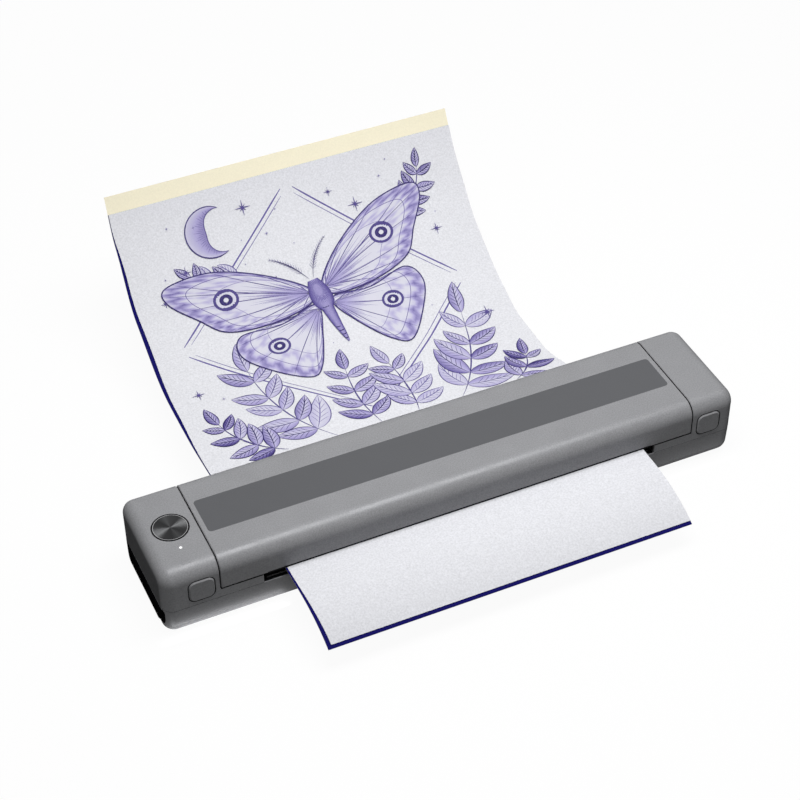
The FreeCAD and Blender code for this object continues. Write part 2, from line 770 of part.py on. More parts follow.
def make_head_spring(name, x):
    """A bowed leaf that stands on the floor and presses up on the heat sink."""
    thick = "spring_strip"
    return prism(name, "xz", [
        (f"{x} - 18", "floor_top"),
        (f"{x} - 13", "floor_top"),
        (f"{x} - 4", f"sink_bottom - {thick}"),
        (f"{x} + 4", f"sink_bottom - {thick}"),
        (f"{x} + 13", "floor_top"),
        (f"{x} + 18", "floor_top"),
        (f"{x} + 18", f"floor_top + {thick}"),
        (f"{x} + 13.3", f"floor_top + {thick}"),
        (f"{x} + 4.3", "sink_bottom"),
        (f"{x} - 4.3", "sink_bottom"),
        (f"{x} - 13.3", f"floor_top + {thick}"),
        (f"{x} - 18", f"floor_top + {thick}"),
    ], ("platen_y - 5", "platen_y + 3"))


def make_print_head():
    """The heat sink with its pivot bore and fins, and the ceramic strip under the roller."""
    half = ("-head_length / 2", "head_length / 2")
    blank = box("sink_blank", half, ("head_front", "head_back"), ("sink_bottom", "sink_top"))
    through = ("-head_length", "head_length")
    tools = [rod("sink_bore", "x", ("pivot_y", "pivot_z"), through, "pin_radius + running_fit")]
    groove_z = ("sink_bottom - 1", "sink_bottom + sink_height / 2")
    for i in range(3):
        y = f"pivot_y - groove_pitch * {4 - i}"
        tools.append(box(f"sink_groove_{i}", through, (y, y + " + groove_width"), groove_z))
    cut("head_heat_sink", blank, *tools)
    strip_y = ("platen_y - ceramic_width / 2", "platen_y + ceramic_width / 2")
    box("head_ceramic", half, strip_y, ("sink_top", "head_top"))
    rod("head_pivot_rod", "x", ("pivot_y", "pivot_z"), ("-frame_back", "frame_back"), "pin_radius")
    springs = [make_head_spring(f"head_spring_{i}", x) for i, x in enumerate(SPRING_PLACES)]
    group("head_springs", *springs)
    ribbon = prism("head_ribbon_cable", "yz", [
        ("head_back - 1.6", "sink_bottom - 0.3"),
        ("head_back + 3.4", "board_top + 1.9"),
        ("head_back + 6.4", "board_top + 1.9"),
        ("head_back + 6.4", "board_top + 2.3"),
        ("head_back + 3.7", "board_top + 2.3"),
        ("head_back - 1.0", "sink_bottom - 0.3"),
    ], ("board_start + 18", "board_start + 54"))
    return ribbon


def make_guide(name, y, rib_y, leg_y):
    """A plate that leads the sheet, with low ribs along the feed and a leg at each end."""
    parts = [box(name + "_plate", ("-frame_face", "frame_face"), y, ("split_height", "guide_top"))]
    for i in range(9):
        x = f"(sheet_width / 2 - 8) * {(i - 4) / 4}"
        rise = ("guide_top - 0.5", "guide_top + 0.7")
        parts.append(box(f"{name}_rib_{i}", (f"{x} - 0.6", f"{x} + 0.6"), rib_y, rise))
    for side in SIDES:
        leg_x = sided(side, "frame_face - 2", "frame_face")
        parts.append(box(f"{name}_{side}_leg", leg_x, leg_y, ("floor_top", "split_height + 0.5")))
    return fuse(name + "_solids", *parts)


def make_guides():
    """The front and rear paper guides, and the paper sensor in the front one."""
    front_y = ("front + guide_inset", "head_front - guide_gap")
    front_ribs = ("front + guide_inset + 2", "head_front - guide_gap")
    front_leg = ("front + guide_inset + 3", "front + guide_inset + 4.4")
    sensor_x = ("30", "38")
    sensor_y = ("head_front - guide_gap - 7", "head_front - guide_gap - 2")
    pocket = box("sensor_pocket", sensor_x, sensor_y, ("split_height - 1", "guide_top + 2"))
    cut("front_paper_guide", make_guide("front_guide", front_y, front_ribs, front_leg), pocket)
    box("paper_sensor", sensor_x, sensor_y, ("split_height", "guide_top + 0.5"))
    rear_y = ("head_back + guide_gap", "back - guide_inset")
    rear_ribs = ("head_back + guide_gap", "back - guide_inset - 2")
    rear_leg = ("head_back + guide_gap", "head_back + guide_gap + 1.2")
    make_guide("rear_guide", rear_y, rear_ribs, rear_leg).Label = "rear_paper_guide"


def chip(name, start, length, y, height):
    """A component on the main board."""
    return box("chip_" + name, (start, f"{start} + {length}"), y, ("board_top", f"board_top + {height}"))


def make_electrics():
    """The battery, the main board with its components, and the charging socket."""
    battery_y = ("head_back + guide_gap + 2", "back - wall - hull_taper - 3")
    cell_corner = f"min(cell_radius; ({battery_y[1]} - {battery_y[0]}) / 2 - edge_softness)"
    prism("battery_pack", "yz", [
        (battery_y[0], "floor_top", cell_corner),
        (battery_y[1], "floor_top", cell_corner),
        (battery_y[1], "battery_top", cell_corner),
        (battery_y[0], "battery_top", cell_corner),
    ], ("-battery_length + 8", "8"))
    board_y = ("head_back + guide_gap + 2", "back - wall - hull_taper - 2")
    board_z = ("board_height", "board_top")
    box("main_board", ("board_start", "board_end"), board_y, board_z)
    charge_x = ("right_end - end_wall - 15", "right_end - end_wall - 1")
    box("charge_board", charge_x, ("-9", "9"), ("charge_height", "charge_top"))
    chips = [
        chip("power", "board_start + 8", 5, ("board_y - 4", "board_y + 4"), 1.9),
        chip("connector", "board_start + 30", 12, ("head_back + 4", "board_y + 3"), 1.9),
        chip("processor", "board_end - 26", 10, ("board_y - 5", "board_y + 5"), 1.4),
        chip("coil", "board_end - 8", 6, ("board_y - 3", "board_y + 3"), 3),
    ]
    group("board_components", *chips)
    shell = socket_slot("socket_shell", "0", ("right_end - end_wall - 5", "right_end - 0.4"))
    mouth = socket_slot("socket_mouth", "-0.4", ("right_end - end_wall - 3.5", "right_end + 1"))
    tongue_x = ("right_end - end_wall - 3.6", "right_end - 1.2")
    middle = "charge_top + socket_height / 2"
    tongue = box("socket_tongue", tongue_x, ("-3", "3"), (middle + " - 0.35", middle + " + 0.35"))
    fuse("usb_socket", cut("socket_tube", shell, mouth), tongue)


# Buttons: the power button in the left block, and a release button with its latch in each block.


def make_power_button():
    """A flat round key with a tab each side under the top wall, over a switch on its own board."""
    centre = ("power_x", "power_y")
    cap = rod("power_cap", "z", centre, ("ceiling - 1.6", "body_height + 0.1"), "power_radius")
    tab_x = ("power_x - power_radius - power_tab", "power_x + power_radius + power_tab")
    tabs = box("power_tabs", tab_x, ("power_y - 2", "power_y + 2"), ("ceiling - 1.8", "ceiling - 0.4"))
    stem_z = ("switch_board + 4.4 + power_travel + 0.05", "ceiling - 1")
    stem = box("power_stem", ("power_x - 2", "power_x + 2"), ("power_y - 2", "power_y + 2"), stem_z)
    fuse("power_button", cap, tabs, stem)
    board_x = ("left_end + end_wall + 0.8", "-(block_bay + 0.4)")
    board_y = ("light_y - 1.7", "power_y + power_radius + 1.8")
    switch_z = ("switch_board + 1.4", "switch_board + 4.4")
    box("button_board", board_x, board_y, ("switch_board", "switch_board + 1.4"))
    box("power_switch", ("power_x - 3", "power_x + 3"), ("power_y - 3", "power_y + 3"), switch_z)
    pipe_z = ("switch_board + 1.4", "body_height + 0.05")
    rod("status_light_pipe", "z", ("power_x", "light_y"), pipe_z, "light_radius")


def make_release(side):
    """A push key in the front wall, the latch slide behind it and its return spring."""
    middle = on_side(side, "release_x")
    name = side + "_release"
    half_x = "release_width / 2"
    half_z = "release_height / 2"
    key = prism(name + "_key", "xz", [
        (f"{middle} - {half_x}", f"release_centre - {half_z}", "release_corner"),
        (f"{middle} + {half_x}", f"release_centre - {half_z}", "release_corner"),
        (f"{middle} + {half_x}", f"release_centre + {half_z}", "release_corner"),
        (f"{middle} - {half_x}", f"release_centre + {half_z}", "release_corner"),
    ], ("front - release_proud", "front + wall + 0.8"))
    face = value("front - release_proud")
    bevel(key, "release_proud", lambda edge: edge.BoundBox.YMax < face + 1e-3)
    flange_z = ("release_centre - release_height / 2 + 1", "body_height - nose + 0.5")
    flange_x = (f"{middle} - {half_x} - 0.55", f"{middle} + {half_x} + 0.55")
    flange = box(name + "_flange", flange_x, ("front + wall + 0.35", "front + wall + 1.8"), flange_z)
    button = fuse(name + "_button", key, flange)
    stem_x = (f"{middle} - 2.2", f"{middle} + 2.2")
    slide_z = ("latch_height", "latch_top")
    stem = box(name + "_stem", stem_x, ("front + wall + 1.8", "latch_back"), slide_z)
    arm = box(name + "_arm", sided(side, "cover_edge - 1.2", "release_x"), ("latch_y", "latch_back"), slide_z)
    slide = fuse(side + "_latch_slide", stem, arm)
    far = "latch_back + release_spring_length"
    prism(name + "_spring", "xy", [
        (f"{middle} - 3", "latch_back"),
        (f"{middle} + 3", "latch_back"),
        (f"{middle} + 3", "latch_back + 2 * spring_strip"),
        (f"{middle} - 2", f"{far} - spring_strip"),
        (f"{middle} + 3", f"{far} - spring_strip"),
        (f"{middle} + 3", far),
        (f"{middle} - 3", far),
        (f"{middle} - 3", f"{far} - 2 * spring_strip"),
        (f"{middle} + 2", "latch_back + spring_strip"),
        (f"{middle} - 3", "latch_back + spring_strip"),
    ], slide_z)
    return button, slide


# Stencil sheet: three plies that follow one curve from the tray side to the raised far end.


def sheet_point(distance, offset):
    """The point of the curve at a distance from the front edge, raised by an offset."""
    droop = value("droop_radius")
    curl = value("curl_radius")
    drooped = droop * math.radians(value("droop_angle"))
    level = value("flat_front + flat_rear")
    height = value("sheet_height")
    crest = -value("flat_front")
    if distance < drooped:
        angle = (drooped - distance) / droop
        reach = droop + offset
        return Vector(0, crest - reach * math.sin(angle), height - droop + reach * math.cos(angle))
    if distance <= drooped + level:
        return Vector(0, crest + distance - drooped, height + offset)
    angle = (distance - drooped - level) / curl
    reach = curl - offset
    return Vector(0, value("flat_rear") + reach * math.sin(angle), height + curl - reach * math.cos(angle))


def sheet_side(start, end, offset):
    """The edges of one face of a ply, seen along its width."""
    bend = value("droop_radius") * math.radians(value("droop_angle"))
    lift = bend + value("flat_front + flat_rear")
    edges = []
    for low, high, curved in ((start, bend, True), (bend, lift, False), (lift, end, True)):
        first = sheet_point(low, offset)
        last = sheet_point(high, offset)
        if curved:
            edges.append(Part.Arc(first, sheet_point((low + high) / 2, offset), last).toShape())
        else:
            edges.append(Part.LineSegment(first, last).toShape())
    return edges


def make_ply(name, start, end, low, high, x):
    """One ply between two offsets from the middle of the stack."""
    begin = value(start)
    finish = value(end)
    bottom = value(low)
    top = value(high)
    edges = sheet_side(begin, finish, bottom) + sheet_side(begin, finish, top)
    edges.append(Part.LineSegment(sheet_point(begin, bottom), sheet_point(begin, top)).toShape())
    edges.append(Part.LineSegment(sheet_point(finish, bottom), sheet_point(finish, top)).toShape())
    face = Part.Face(Part.Wire(Part.__sortEdges__(edges)))
    width = value(f"({x[1]}) - ({x[0]})")
    item = solid_item(name, face.extrude(Vector(width, 0, 0)))
    bind(item, {"Placement.Base.x": x[0]})
    return item


def make_sheet():
    """The white sheet, the carbon ply that shows along its left and front edges, and the backing."""
    half = ("-sheet_width / 2", "sheet_width / 2")
    wide = ("-sheet_width / 2 - carbon_edge", "sheet_width / 2")
    inked = "carbon_edge + sheet_length"
    whole = "carbon_edge + sheet_length + header_strip"
    make_ply("stencil_top_sheet", "carbon_edge", inked, "ply / 2 + ply_gap / 2", "ply * 1.5", half)
    make_ply("stencil_carbon_ply", "0", inked, "ply_gap / 2 - ply / 2", "ply / 2 - ply_gap / 2", wide)
    make_ply("stencil_backing_ply", "0", whole, "-ply * 1.5", "-ply / 2 - ply_gap / 2", wide)


make_lower_case()
for side in SIDES:
    make_end_housing(side)
    make_end_panel(side)
    make_side_frame(side)
    make_release(side)
    pin_span = sided(side, "cover_bay", "block_bay + pin_boss")
    rod(side + "_hinge_pin", "x", ("hinge_y", "hinge_height"), pin_span, "pin_radius")
feet = [foot_pad(f"foot_{i}", x, "0", "foot_height + foot_seat") for i, x in enumerate(FOOT_PLACES)]
group("rubber_feet", *feet)
make_top_cover()
inlay_form("cover_inlay", "body_height")
make_gear_plate()
make_feed_motor()
make_gears()
make_platen()
rod("idler_axle", "x", ("platen_y", "idler_z"), ("-plate_far", "-frame_face"), "pin_radius")
shaft_x = ("-plate_far - motor_bearing", "-gear_near + 0.4")
rod("motor_shaft", "x", ("pinion_y", "idler_z"), shaft_x, "motor_shaft_radius")
make_print_head()
make_guides()
make_electrics()
make_power_button()
make_sheet()
document.recompute()

NODES = (
    "lower_case",
    "left_end_housing",
    "right_end_housing",
    "left_end_panel",
    "right_end_panel",
    "rubber_feet",
    "top_cover",
    "cover_inlay",
    "left_hinge_pin",
    "right_hinge_pin",
    "left_side_frame",
    "right_side_frame",
    "gear_plate",
    "feed_motor",
    "motor_shaft",
    "motor_pinion",
    "idler_axle",
    "idler_gear",
    "platen_gear",
    "platen_shaft",
    "platen_rubber",
    "left_platen_bush",
    "right_platen_bush",
    "head_heat_sink",
    "head_ceramic",
    "head_pivot_rod",
    "head_springs",
    "head_ribbon_cable",
    "front_paper_guide",
    "rear_paper_guide",
    "paper_sensor",
    "battery_pack",
    "main_board",
    "board_components",
    "charge_board",
    "usb_socket",
    "power_button",
    "power_switch",
    "button_board",
    "status_light_pipe",
    "left_release_button",
    "left_latch_slide",
    "left_release_spring",
    "right_release_button",
    "right_latch_slide",
    "right_release_spring",
    "stencil_top_sheet",
    "stencil_carbon_ply",
    "stencil_backing_ply",
)

for item in document.Objects:
    if "Invalid" in item.State or "Error" in item.State:
        raise RuntimeError(f"{item.Name} could not be built: {item.State}")
for label in NODES:
    shape = document.getObjectsByLabel(label)[0].Shape
    if shape.isNull() or not shape.isValid() or not shape.Solids:
        raise RuntimeError(f"{label} has no valid solid")

os.makedirs("parts", exist_ok=True)
for label in NODES:
    document.getObjectsByLabel(label)[0].Shape.exportStep(f"parts/{label}.step")
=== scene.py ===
import json
import math
import random

import bmesh
import bpy
from mathutils import Matrix, Vector


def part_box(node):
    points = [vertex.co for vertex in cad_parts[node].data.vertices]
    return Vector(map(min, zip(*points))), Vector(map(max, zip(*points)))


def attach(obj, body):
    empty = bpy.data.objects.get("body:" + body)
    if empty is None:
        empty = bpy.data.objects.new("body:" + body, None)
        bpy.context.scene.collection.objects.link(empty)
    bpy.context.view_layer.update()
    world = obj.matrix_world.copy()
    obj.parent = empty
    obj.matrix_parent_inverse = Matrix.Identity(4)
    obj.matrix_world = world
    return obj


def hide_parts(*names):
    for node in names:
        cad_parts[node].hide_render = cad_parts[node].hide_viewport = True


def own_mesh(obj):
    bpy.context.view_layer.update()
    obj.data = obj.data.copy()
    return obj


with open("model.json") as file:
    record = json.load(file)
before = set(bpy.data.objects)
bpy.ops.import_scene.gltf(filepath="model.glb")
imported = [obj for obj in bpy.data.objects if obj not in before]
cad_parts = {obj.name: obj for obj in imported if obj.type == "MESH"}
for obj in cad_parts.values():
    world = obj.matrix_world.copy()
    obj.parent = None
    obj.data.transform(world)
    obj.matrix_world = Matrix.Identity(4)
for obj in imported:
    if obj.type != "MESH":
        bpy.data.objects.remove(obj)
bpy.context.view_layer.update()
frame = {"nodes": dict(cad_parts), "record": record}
nodes = frame["nodes"]
scene = bpy.context.scene

MM = 0.001


def middle_of(node):
    low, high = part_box(node)
    return (Vector(low) + Vector(high)) / 2


BUTTON_MIDDLE = middle_of("power_button")
LIGHT_MIDDLE = middle_of("status_light_pipe")


# Camera: the photograph's viewpoint, from the directions of the body's straight edges.

VIEW_AZIMUTH = math.radians(-24.228)
VIEW_ELEVATION = math.radians(41.555)
VIEW_ROLL = math.radians(0.57)
VIEW_DISTANCE = 1.0747
VIEW_RIGHT = 0.02067
VIEW_DOWN = 0.05385
FOCAL_PIXELS = 2019.864
IMAGE_PIXELS = 800
SENSOR = 36.0


def make_camera():
    """A camera whose line of sight passes beside the origin by the two offsets above."""
    back = Vector((
        math.sin(VIEW_AZIMUTH) * math.cos(VIEW_ELEVATION),
        -math.cos(VIEW_AZIMUTH) * math.cos(VIEW_ELEVATION),
        math.sin(VIEW_ELEVATION),
    ))
    forward = -back
    right = forward.cross(Vector((0, 0, 1))).normalized()
    down = forward.cross(right)
    turned_right = right * math.cos(VIEW_ROLL) + down * math.sin(VIEW_ROLL)
    turned_down = down * math.cos(VIEW_ROLL) - right * math.sin(VIEW_ROLL)
    data = bpy.data.cameras.new("photo_camera")
    data.sensor_width = SENSOR
    data.lens = FOCAL_PIXELS / IMAGE_PIXELS * SENSOR
    camera = bpy.data.objects.new("photo_camera", data)
    place = -(turned_right * VIEW_RIGHT + turned_down * VIEW_DOWN + forward * VIEW_DISTANCE)
    turn = Matrix((turned_right, -turned_down, -forward)).transposed()
    camera.matrix_world = Matrix.Translation(place) @ turn.to_4x4()
    scene.collection.objects.link(camera)
    scene.camera = camera


# Materials: node trees with grain and sheen at the scale of the real finishes.


class Tree:
    """A material's node tree with one Principled shader, and short calls to add to it."""

    def __init__(self, name):
        self.material = bpy.data.materials.new(name)
        self.material.use_nodes = True
        self.nodes = self.material.node_tree.nodes
        self.links = self.material.node_tree.links
        self.shader = self.nodes["Principled BSDF"]

    def add(self, kind, inputs=None, **settings):
        node = self.nodes.new(kind)
        for key, setting in settings.items():
            setattr(node, key, setting)
        for key, source in (inputs or {}).items():
            self.feed(node.inputs[key], source)
        return node

    def feed(self, socket, source):
        if isinstance(source, bpy.types.NodeSocket):
            self.links.new(source, socket)
        else:
            socket.default_value = source

    def set(self, **inputs):
        for key, source in inputs.items():
            self.feed(self.shader.inputs[key.replace("_", " ")], source)

    def place(self):
        return self.add("ShaderNodeTexCoord").outputs["Object"]

    def noise(self, scale, detail=3.0, roughness=0.55):
        inputs = {"Scale": scale, "Detail": detail, "Roughness": roughness, "Vector": self.place()}
        return self.add("ShaderNodeTexNoise", inputs).outputs["Fac"]

    def span(self, value, low, high, floor=0.35, ceiling=0.65):
        """A noise value spread over a range of numbers."""
        inputs = {"Value": value, "From Min": floor, "From Max": ceiling, "To Min": low, "To Max": high}
        return self.add("ShaderNodeMapRange", inputs).outputs["Result"]

    def shades(self, value, *stops):
        """Colours along a value, each stop a place and a colour."""
        ramp = self.add("ShaderNodeValToRGB", {"Fac": value})
        while len(ramp.color_ramp.elements) < len(stops):
            ramp.color_ramp.elements.new(0.5)
        for element, (position, colour) in zip(ramp.color_ramp.elements, stops):
            element.position = position
            element.color = (*colour, 1)
        return ramp.outputs["Color"]

    def bump(self, height, distance):
        inputs = {"Height": height, "Distance": distance, "Strength": 1.0}
        self.set(Normal=self.add("ShaderNodeBump", inputs).outputs["Normal"])


def tint(colour, factor):
    return tuple(min(1.0, part * factor) for part in colour)


FINE_SHARE, CLOUD_SHARE = 0.85, 0.15
CLOUD_SIZE = 22


def finish(
    name, colour, roughness, metallic=0.0, grain=900.0, spread=0.06, relief=0.0,
    uneven=0.06, gloss=0.5, edge=1.0,
):
    """A moulded or plated finish: colour and gloss vary with a fine grain that also stands in relief."""
    tree = Tree(name)
    fine = tree.noise(grain)
    cloud = tree.noise(grain / CLOUD_SIZE, 4.0)
    share = tree.add("ShaderNodeMath", {0: cloud, 1: CLOUD_SHARE}, operation="MULTIPLY").outputs[0]
    parts = {0: fine, 1: FINE_SHARE, 2: share}
    mixed = tree.add("ShaderNodeMath", parts, operation="MULTIPLY_ADD").outputs[0]
    dark = tint(colour, 1 - spread)
    light = tint(colour, 1 + spread)
    tree.set(Base_Color=tree.shades(mixed, (0.35, dark), (0.65, light)), Metallic=metallic)
    tree.set(Roughness=tree.span(cloud, roughness - uneven, roughness + uneven), Specular_IOR_Level=gloss)
    tree.set(Specular_Tint=(edge, edge, edge, 1.0))
    if relief:
        tree.bump(fine, relief)
    return tree


def paper(name, colour, grain, spread, relief):
    """Uncoated paper: a fine speckle of fibres in colour and relief, with no large clouds."""
    tree = Tree(name)
    fibres = tree.noise(grain, 5.0, 0.7)
    tree.set(Base_Color=tree.shades(fibres, (0.3, tint(colour, 1 - spread)), (0.7, tint(colour, 1 + spread))))
    tree.set(Roughness=tree.span(fibres, 0.8, 0.95), Specular_IOR_Level=0.1)
    tree.bump(fibres, relief)
    return tree


TISSUE = (0.745, 0.75, 0.785)
INK_LIGHT = (0.42, 0.385, 0.64)
INK_MIDDLE = (0.135, 0.11, 0.33)
INK_DARK = (0.035, 0.027, 0.12)


def printed_paper():
    """The tissue's speckle under ink: a point attribute runs from bare paper, at 0, to full ink, at 1."""
    tree = Tree("printed_tissue")
    fibres = tree.noise(1100.0, 5.0, 0.7)
    ink = tree.add("ShaderNodeAttribute", attribute_name="ink").outputs["Fac"]
    shift = tree.span(fibres, -0.09, 0.09, 0.3, 0.7)
    uneven = tree.add("ShaderNodeMath", {0: shift, 1: ink}, operation="MULTIPLY").outputs[0]
    level = tree.add("ShaderNodeMath", {0: ink, 1: uneven}, operation="ADD").outputs[0]
    stops = ((0.0, TISSUE), (0.4, INK_LIGHT), (0.75, INK_MIDDLE), (1.0, INK_DARK))
    tree.set(Base_Color=tree.shades(level, *stops), Specular_IOR_Level=0.1)
    tree.set(Roughness=tree.span(fibres, 0.75, 0.92))
    tree.bump(fibres, 0.02 * MM)
    return tree


# The key's colour runs from dark metal to a painted highlight; the stops below place that painted highlight
# in wedge shapes round the middle.
SPUN_DARK = (0.022, 0.022, 0.023)
SPUN_PAINTED_HIGHLIGHT = (0.11, 0.112, 0.115)
SPUN_PAINTED_WEDGES = (
    (0.0, 0.55), (0.05, 0.85), (0.13, 0.15), (0.22, 0.1), (0.29, 0.5), (0.36, 0.12),
    (0.46, 0.3), (0.52, 0.8), (0.6, 0.15), (0.7, 0.35), (0.76, 0.7), (0.84, 0.12), (0.93, 0.2), (1.0, 0.55),
)


def spun_metal():
    """A turned face: fine rings about the middle, with a highlight painted into the colour in wedge shapes
    that run outward, over an anisotropic sheen.
    """
    tree = Tree("spun_metal")
    middle = tree.add("ShaderNodeMapping", {"Vector": tree.place()})
    middle.inputs["Location"].default_value = tuple(-part for part in BUTTON_MIDDLE)
    rings = tree.add("ShaderNodeTexWave", {"Vector": middle.outputs[0], "Scale": 900.0, "Distortion": 0.6})
    rings.wave_type = "RINGS"
    rings.rings_direction = "SPHERICAL"
    fine = tree.noise(2500.0, 2.0)
    height = tree.add("ShaderNodeMath", {0: rings.outputs["Fac"], 1: fine}, operation="ADD").outputs[0]
    # Painted highlight: wedge shapes of lighter colour round the middle, added to the rings.
    around = tree.add("ShaderNodeTexGradient", {"Vector": middle.outputs[0]}, gradient_type="RADIAL")
    stops = [(place, (level, level, level)) for place, level in SPUN_PAINTED_WEDGES]
    painted_wedges = tree.shades(around.outputs["Fac"], *stops)
    sheen = tree.add("ShaderNodeMath", {0: height, 1: 0.12, 2: painted_wedges}, operation="MULTIPLY_ADD").outputs[0]
    tree.set(Base_Color=tree.shades(sheen, (0.05, SPUN_DARK), (1.0, SPUN_PAINTED_HIGHLIGHT)))
    tree.set(Metallic=1.0, Roughness=0.42, Anisotropic=1.0)
    tangent = tree.add("ShaderNodeTangent", direction_type="RADIAL", axis="Z").outputs[0]
    tree.set(Tangent=tangent)
    tree.bump(height, 0.004 * MM)
    return tree


def lit_window():
    """The status light: a frosted pipe end with a soft white glow in its middle."""
    tree = Tree("light_pipe")
    frost = tree.noise(1500.0, 3.0)
    away = tree.add("ShaderNodeVectorMath", {0: tree.place(), 1: LIGHT_MIDDLE}, operation="SUBTRACT")
    flat = tree.add("ShaderNodeVectorMath", {0: away.outputs[0], 1: (1, 1, 0)}, operation="MULTIPLY")
    reach = tree.add("ShaderNodeVectorMath", {0: flat.outputs[0]}, operation="LENGTH").outputs["Value"]
    glow = tree.span(reach, 1.0, 0.0, 0.35 * MM, 0.9 * MM)
    tree.set(Base_Color=tree.shades(glow, (0.0, (0.34, 0.34, 0.35)), (0.8, (0.9, 0.9, 0.9))))
    tree.set(Roughness=tree.span(frost, 0.3, 0.45), Emission_Strength=0.6)
    tree.set(Emission_Color=tree.shades(glow, (0.0, (0.0, 0.0, 0.0)), (1.0, (1.0, 1.0, 1.0))))
    return tree


# Stage: a white floor, a dome that darkens towards the horizon, and soft lamps.

FLOOR_HALF = 6.0
FLOOR_DROP = 0.0002
FLOOR_BOUNCE = 0.08
FLOOR_MATTE = 0.95
FLOOR_WHITE = 0.95
HORIZON = 0.02
ZENITH = 0.36
DOME_START, DOME_END = 0.3, 0.85


def backdrop_rays(tree):
    """1 for the rays that see the backdrop itself: from the camera, and by way of gloss or glass."""
    path = tree.nodes.new("ShaderNodeLightPath")
    total = path.outputs["Is Camera Ray"]
    for name in ("Is Glossy Ray", "Is Transmission Ray"):
        either = tree.nodes.new("ShaderNodeMath")
        either.operation = "MAXIMUM"
        tree.links.new(total, either.inputs[0])
        tree.links.new(path.outputs[name], either.inputs[1])
        total = either.outputs[0]
    return total


def make_stage():
    """A floor that is white as a backdrop, and throws little light back onto the printer."""
    mesh = bpy.data.meshes.new("floor")
    half = FLOOR_HALF
    corners = [(-half, -half, 0), (half, -half, 0), (half, half, 0), (-half, half, 0)]
    mesh.from_pydata(corners, [], [(0, 1, 2, 3)])
    floor = bpy.data.objects.new("floor", mesh)
    floor.location.z = -FLOOR_DROP
    scene.collection.objects.link(floor)
    material = bpy.data.materials.new("floor_paper")
    material.use_nodes = True
    tree = material.node_tree
    tree.nodes.clear()
    output = tree.nodes.new("ShaderNodeOutputMaterial")
    blend = tree.nodes.new("ShaderNodeMixShader")
    matte = tree.nodes.new("ShaderNodeBsdfDiffuse")
    seen = backdrop_rays(tree)
    tone = tree.nodes.new("ShaderNodeMapRange")
    tone.inputs["To Min"].default_value = FLOOR_BOUNCE
    tone.inputs["To Max"].default_value = FLOOR_MATTE
    tree.links.new(seen, tone.inputs["Value"])
    tree.links.new(tone.outputs[0], matte.inputs["Color"])
    bright = tree.nodes.new("ShaderNodeEmission")
    bright.inputs["Color"].default_value = (1, 1, 1, 1)
    share = tree.nodes.new("ShaderNodeMath")
    share.operation = "MULTIPLY"
    share.inputs[1].default_value = FLOOR_WHITE
    tree.links.new(seen, share.inputs[0])
    tree.links.new(share.outputs[0], blend.inputs["Fac"])
    tree.links.new(matte.outputs[0], blend.inputs[1])
    tree.links.new(bright.outputs[0], blend.inputs[2])
    tree.links.new(blend.outputs[0], output.inputs["Surface"])
    mesh.materials.append(material)


def make_sky():
    """A dome that is bright overhead and dark at the horizon, and a plain white backdrop."""
    world = bpy.data.worlds.new("sky")
    scene.world = world
    world.use_nodes = True
    tree = world.node_tree
    tree.nodes.clear()
    output = tree.nodes.new("ShaderNodeOutputWorld")
    sky = tree.nodes.new("ShaderNodeBackground")
    sky.inputs["Color"].default_value = (1, 1, 1, 1)
    direction = tree.nodes.new("ShaderNodeSeparateXYZ")
    tree.links.new(tree.nodes.new("ShaderNodeTexCoord").outputs["Generated"], direction.inputs[0])
    dome = tree.nodes.new("ShaderNodeMapRange")
    limits = {"From Min": DOME_START, "From Max": DOME_END, "To Min": HORIZON, "To Max": ZENITH}
    for name, setting in limits.items():
        dome.inputs[name].default_value = setting
    tree.links.new(direction.outputs["Z"], dome.inputs["Value"])
    level = tree.nodes.new("ShaderNodeMapRange")
    tree.links.new(backdrop_rays(tree), level.inputs["Value"])
    tree.links.new(dome.outputs[0], level.inputs["To Min"])
    level.inputs["To Max"].default_value = 1.0
    tree.links.new(level.outputs[0], sky.inputs["Strength"])
    tree.links.new(sky.outputs[0], output.inputs["Surface"])


def make_lamp(name, place, target, size, power):
    data = bpy.data.lights.new(name, "AREA")
    data.shape = "RECTANGLE"
    data.size, data.size_y = size
    data.energy = power
    lamp = bpy.data.objects.new(name, data)
    lamp.location = place
    lamp.rotation_euler = (Vector(target) - Vector(place)).to_track_quat("-Z", "Y").to_euler()
    scene.collection.objects.link(lamp)


# Stencil sheet: three thin plies on the route of the CAD sheet, with the sag that the photograph shows.

SLOT_LEVEL = 22.9
DROOP_START, DROOP_RADIUS = -45.0, 86.0
CURL_START, CURL_RADIUS = 100.0, 130.0
FRONT_END, TOP_START, TOP_END, FAR_END = -84.6, -82.6, 229.4, 239.4
PLY_PITCH = 0.3
PLY_HALF = 0.07
PLY_COLUMNS = 56
PLY_STEP = 2.5
CARBON_SHOWS = ((-85, 2.2), (-40, 0.9), (50, 0.4), (100, 1.7), (145, 2.4), (190, 1.7), (226, 0.3))

LEFT_EDGE = (
    (-85, -98.8), (-30, -99.8), (38, -110.3), (75, -111.2),
    (110, -111.0), (165, -109.2), (210, -107.0), (240, -105.8),
)
RIGHT_EDGE = (
    (-85, 104.8), (-30, 104.6), (38, 101.6), (75, 100.8),
    (110, 100.9), (165, 102.9), (200, 104.6), (240, 105.3),
)
RIGHT_SAG = ((38, 0), (75, -7.6), (102, -7.2), (128, -3.4), (178, 0))
SAG_POWER = 1.6
WAVE_HEIGHT = 0.5
WAVE_START, WAVE_GROWTH, WAVE_FADE = 55, 60, 40
WAVE_ACROSS, WAVE_SKEW, WAVE_ALONG = 5.1, 0.031, 0.045


def eased(stops, place):
    """A value that passes smoothly through the stops, and stays level before and after them."""
    if place <= stops[0][0]:
        return stops[0][1]
    for (low, before), (high, after) in zip(stops, stops[1:]):
        if place <= high:
            part = (place - low) / (high - low)
            return before + (after - before) * part * part * (3 - 2 * part)
    return stops[-1][1]


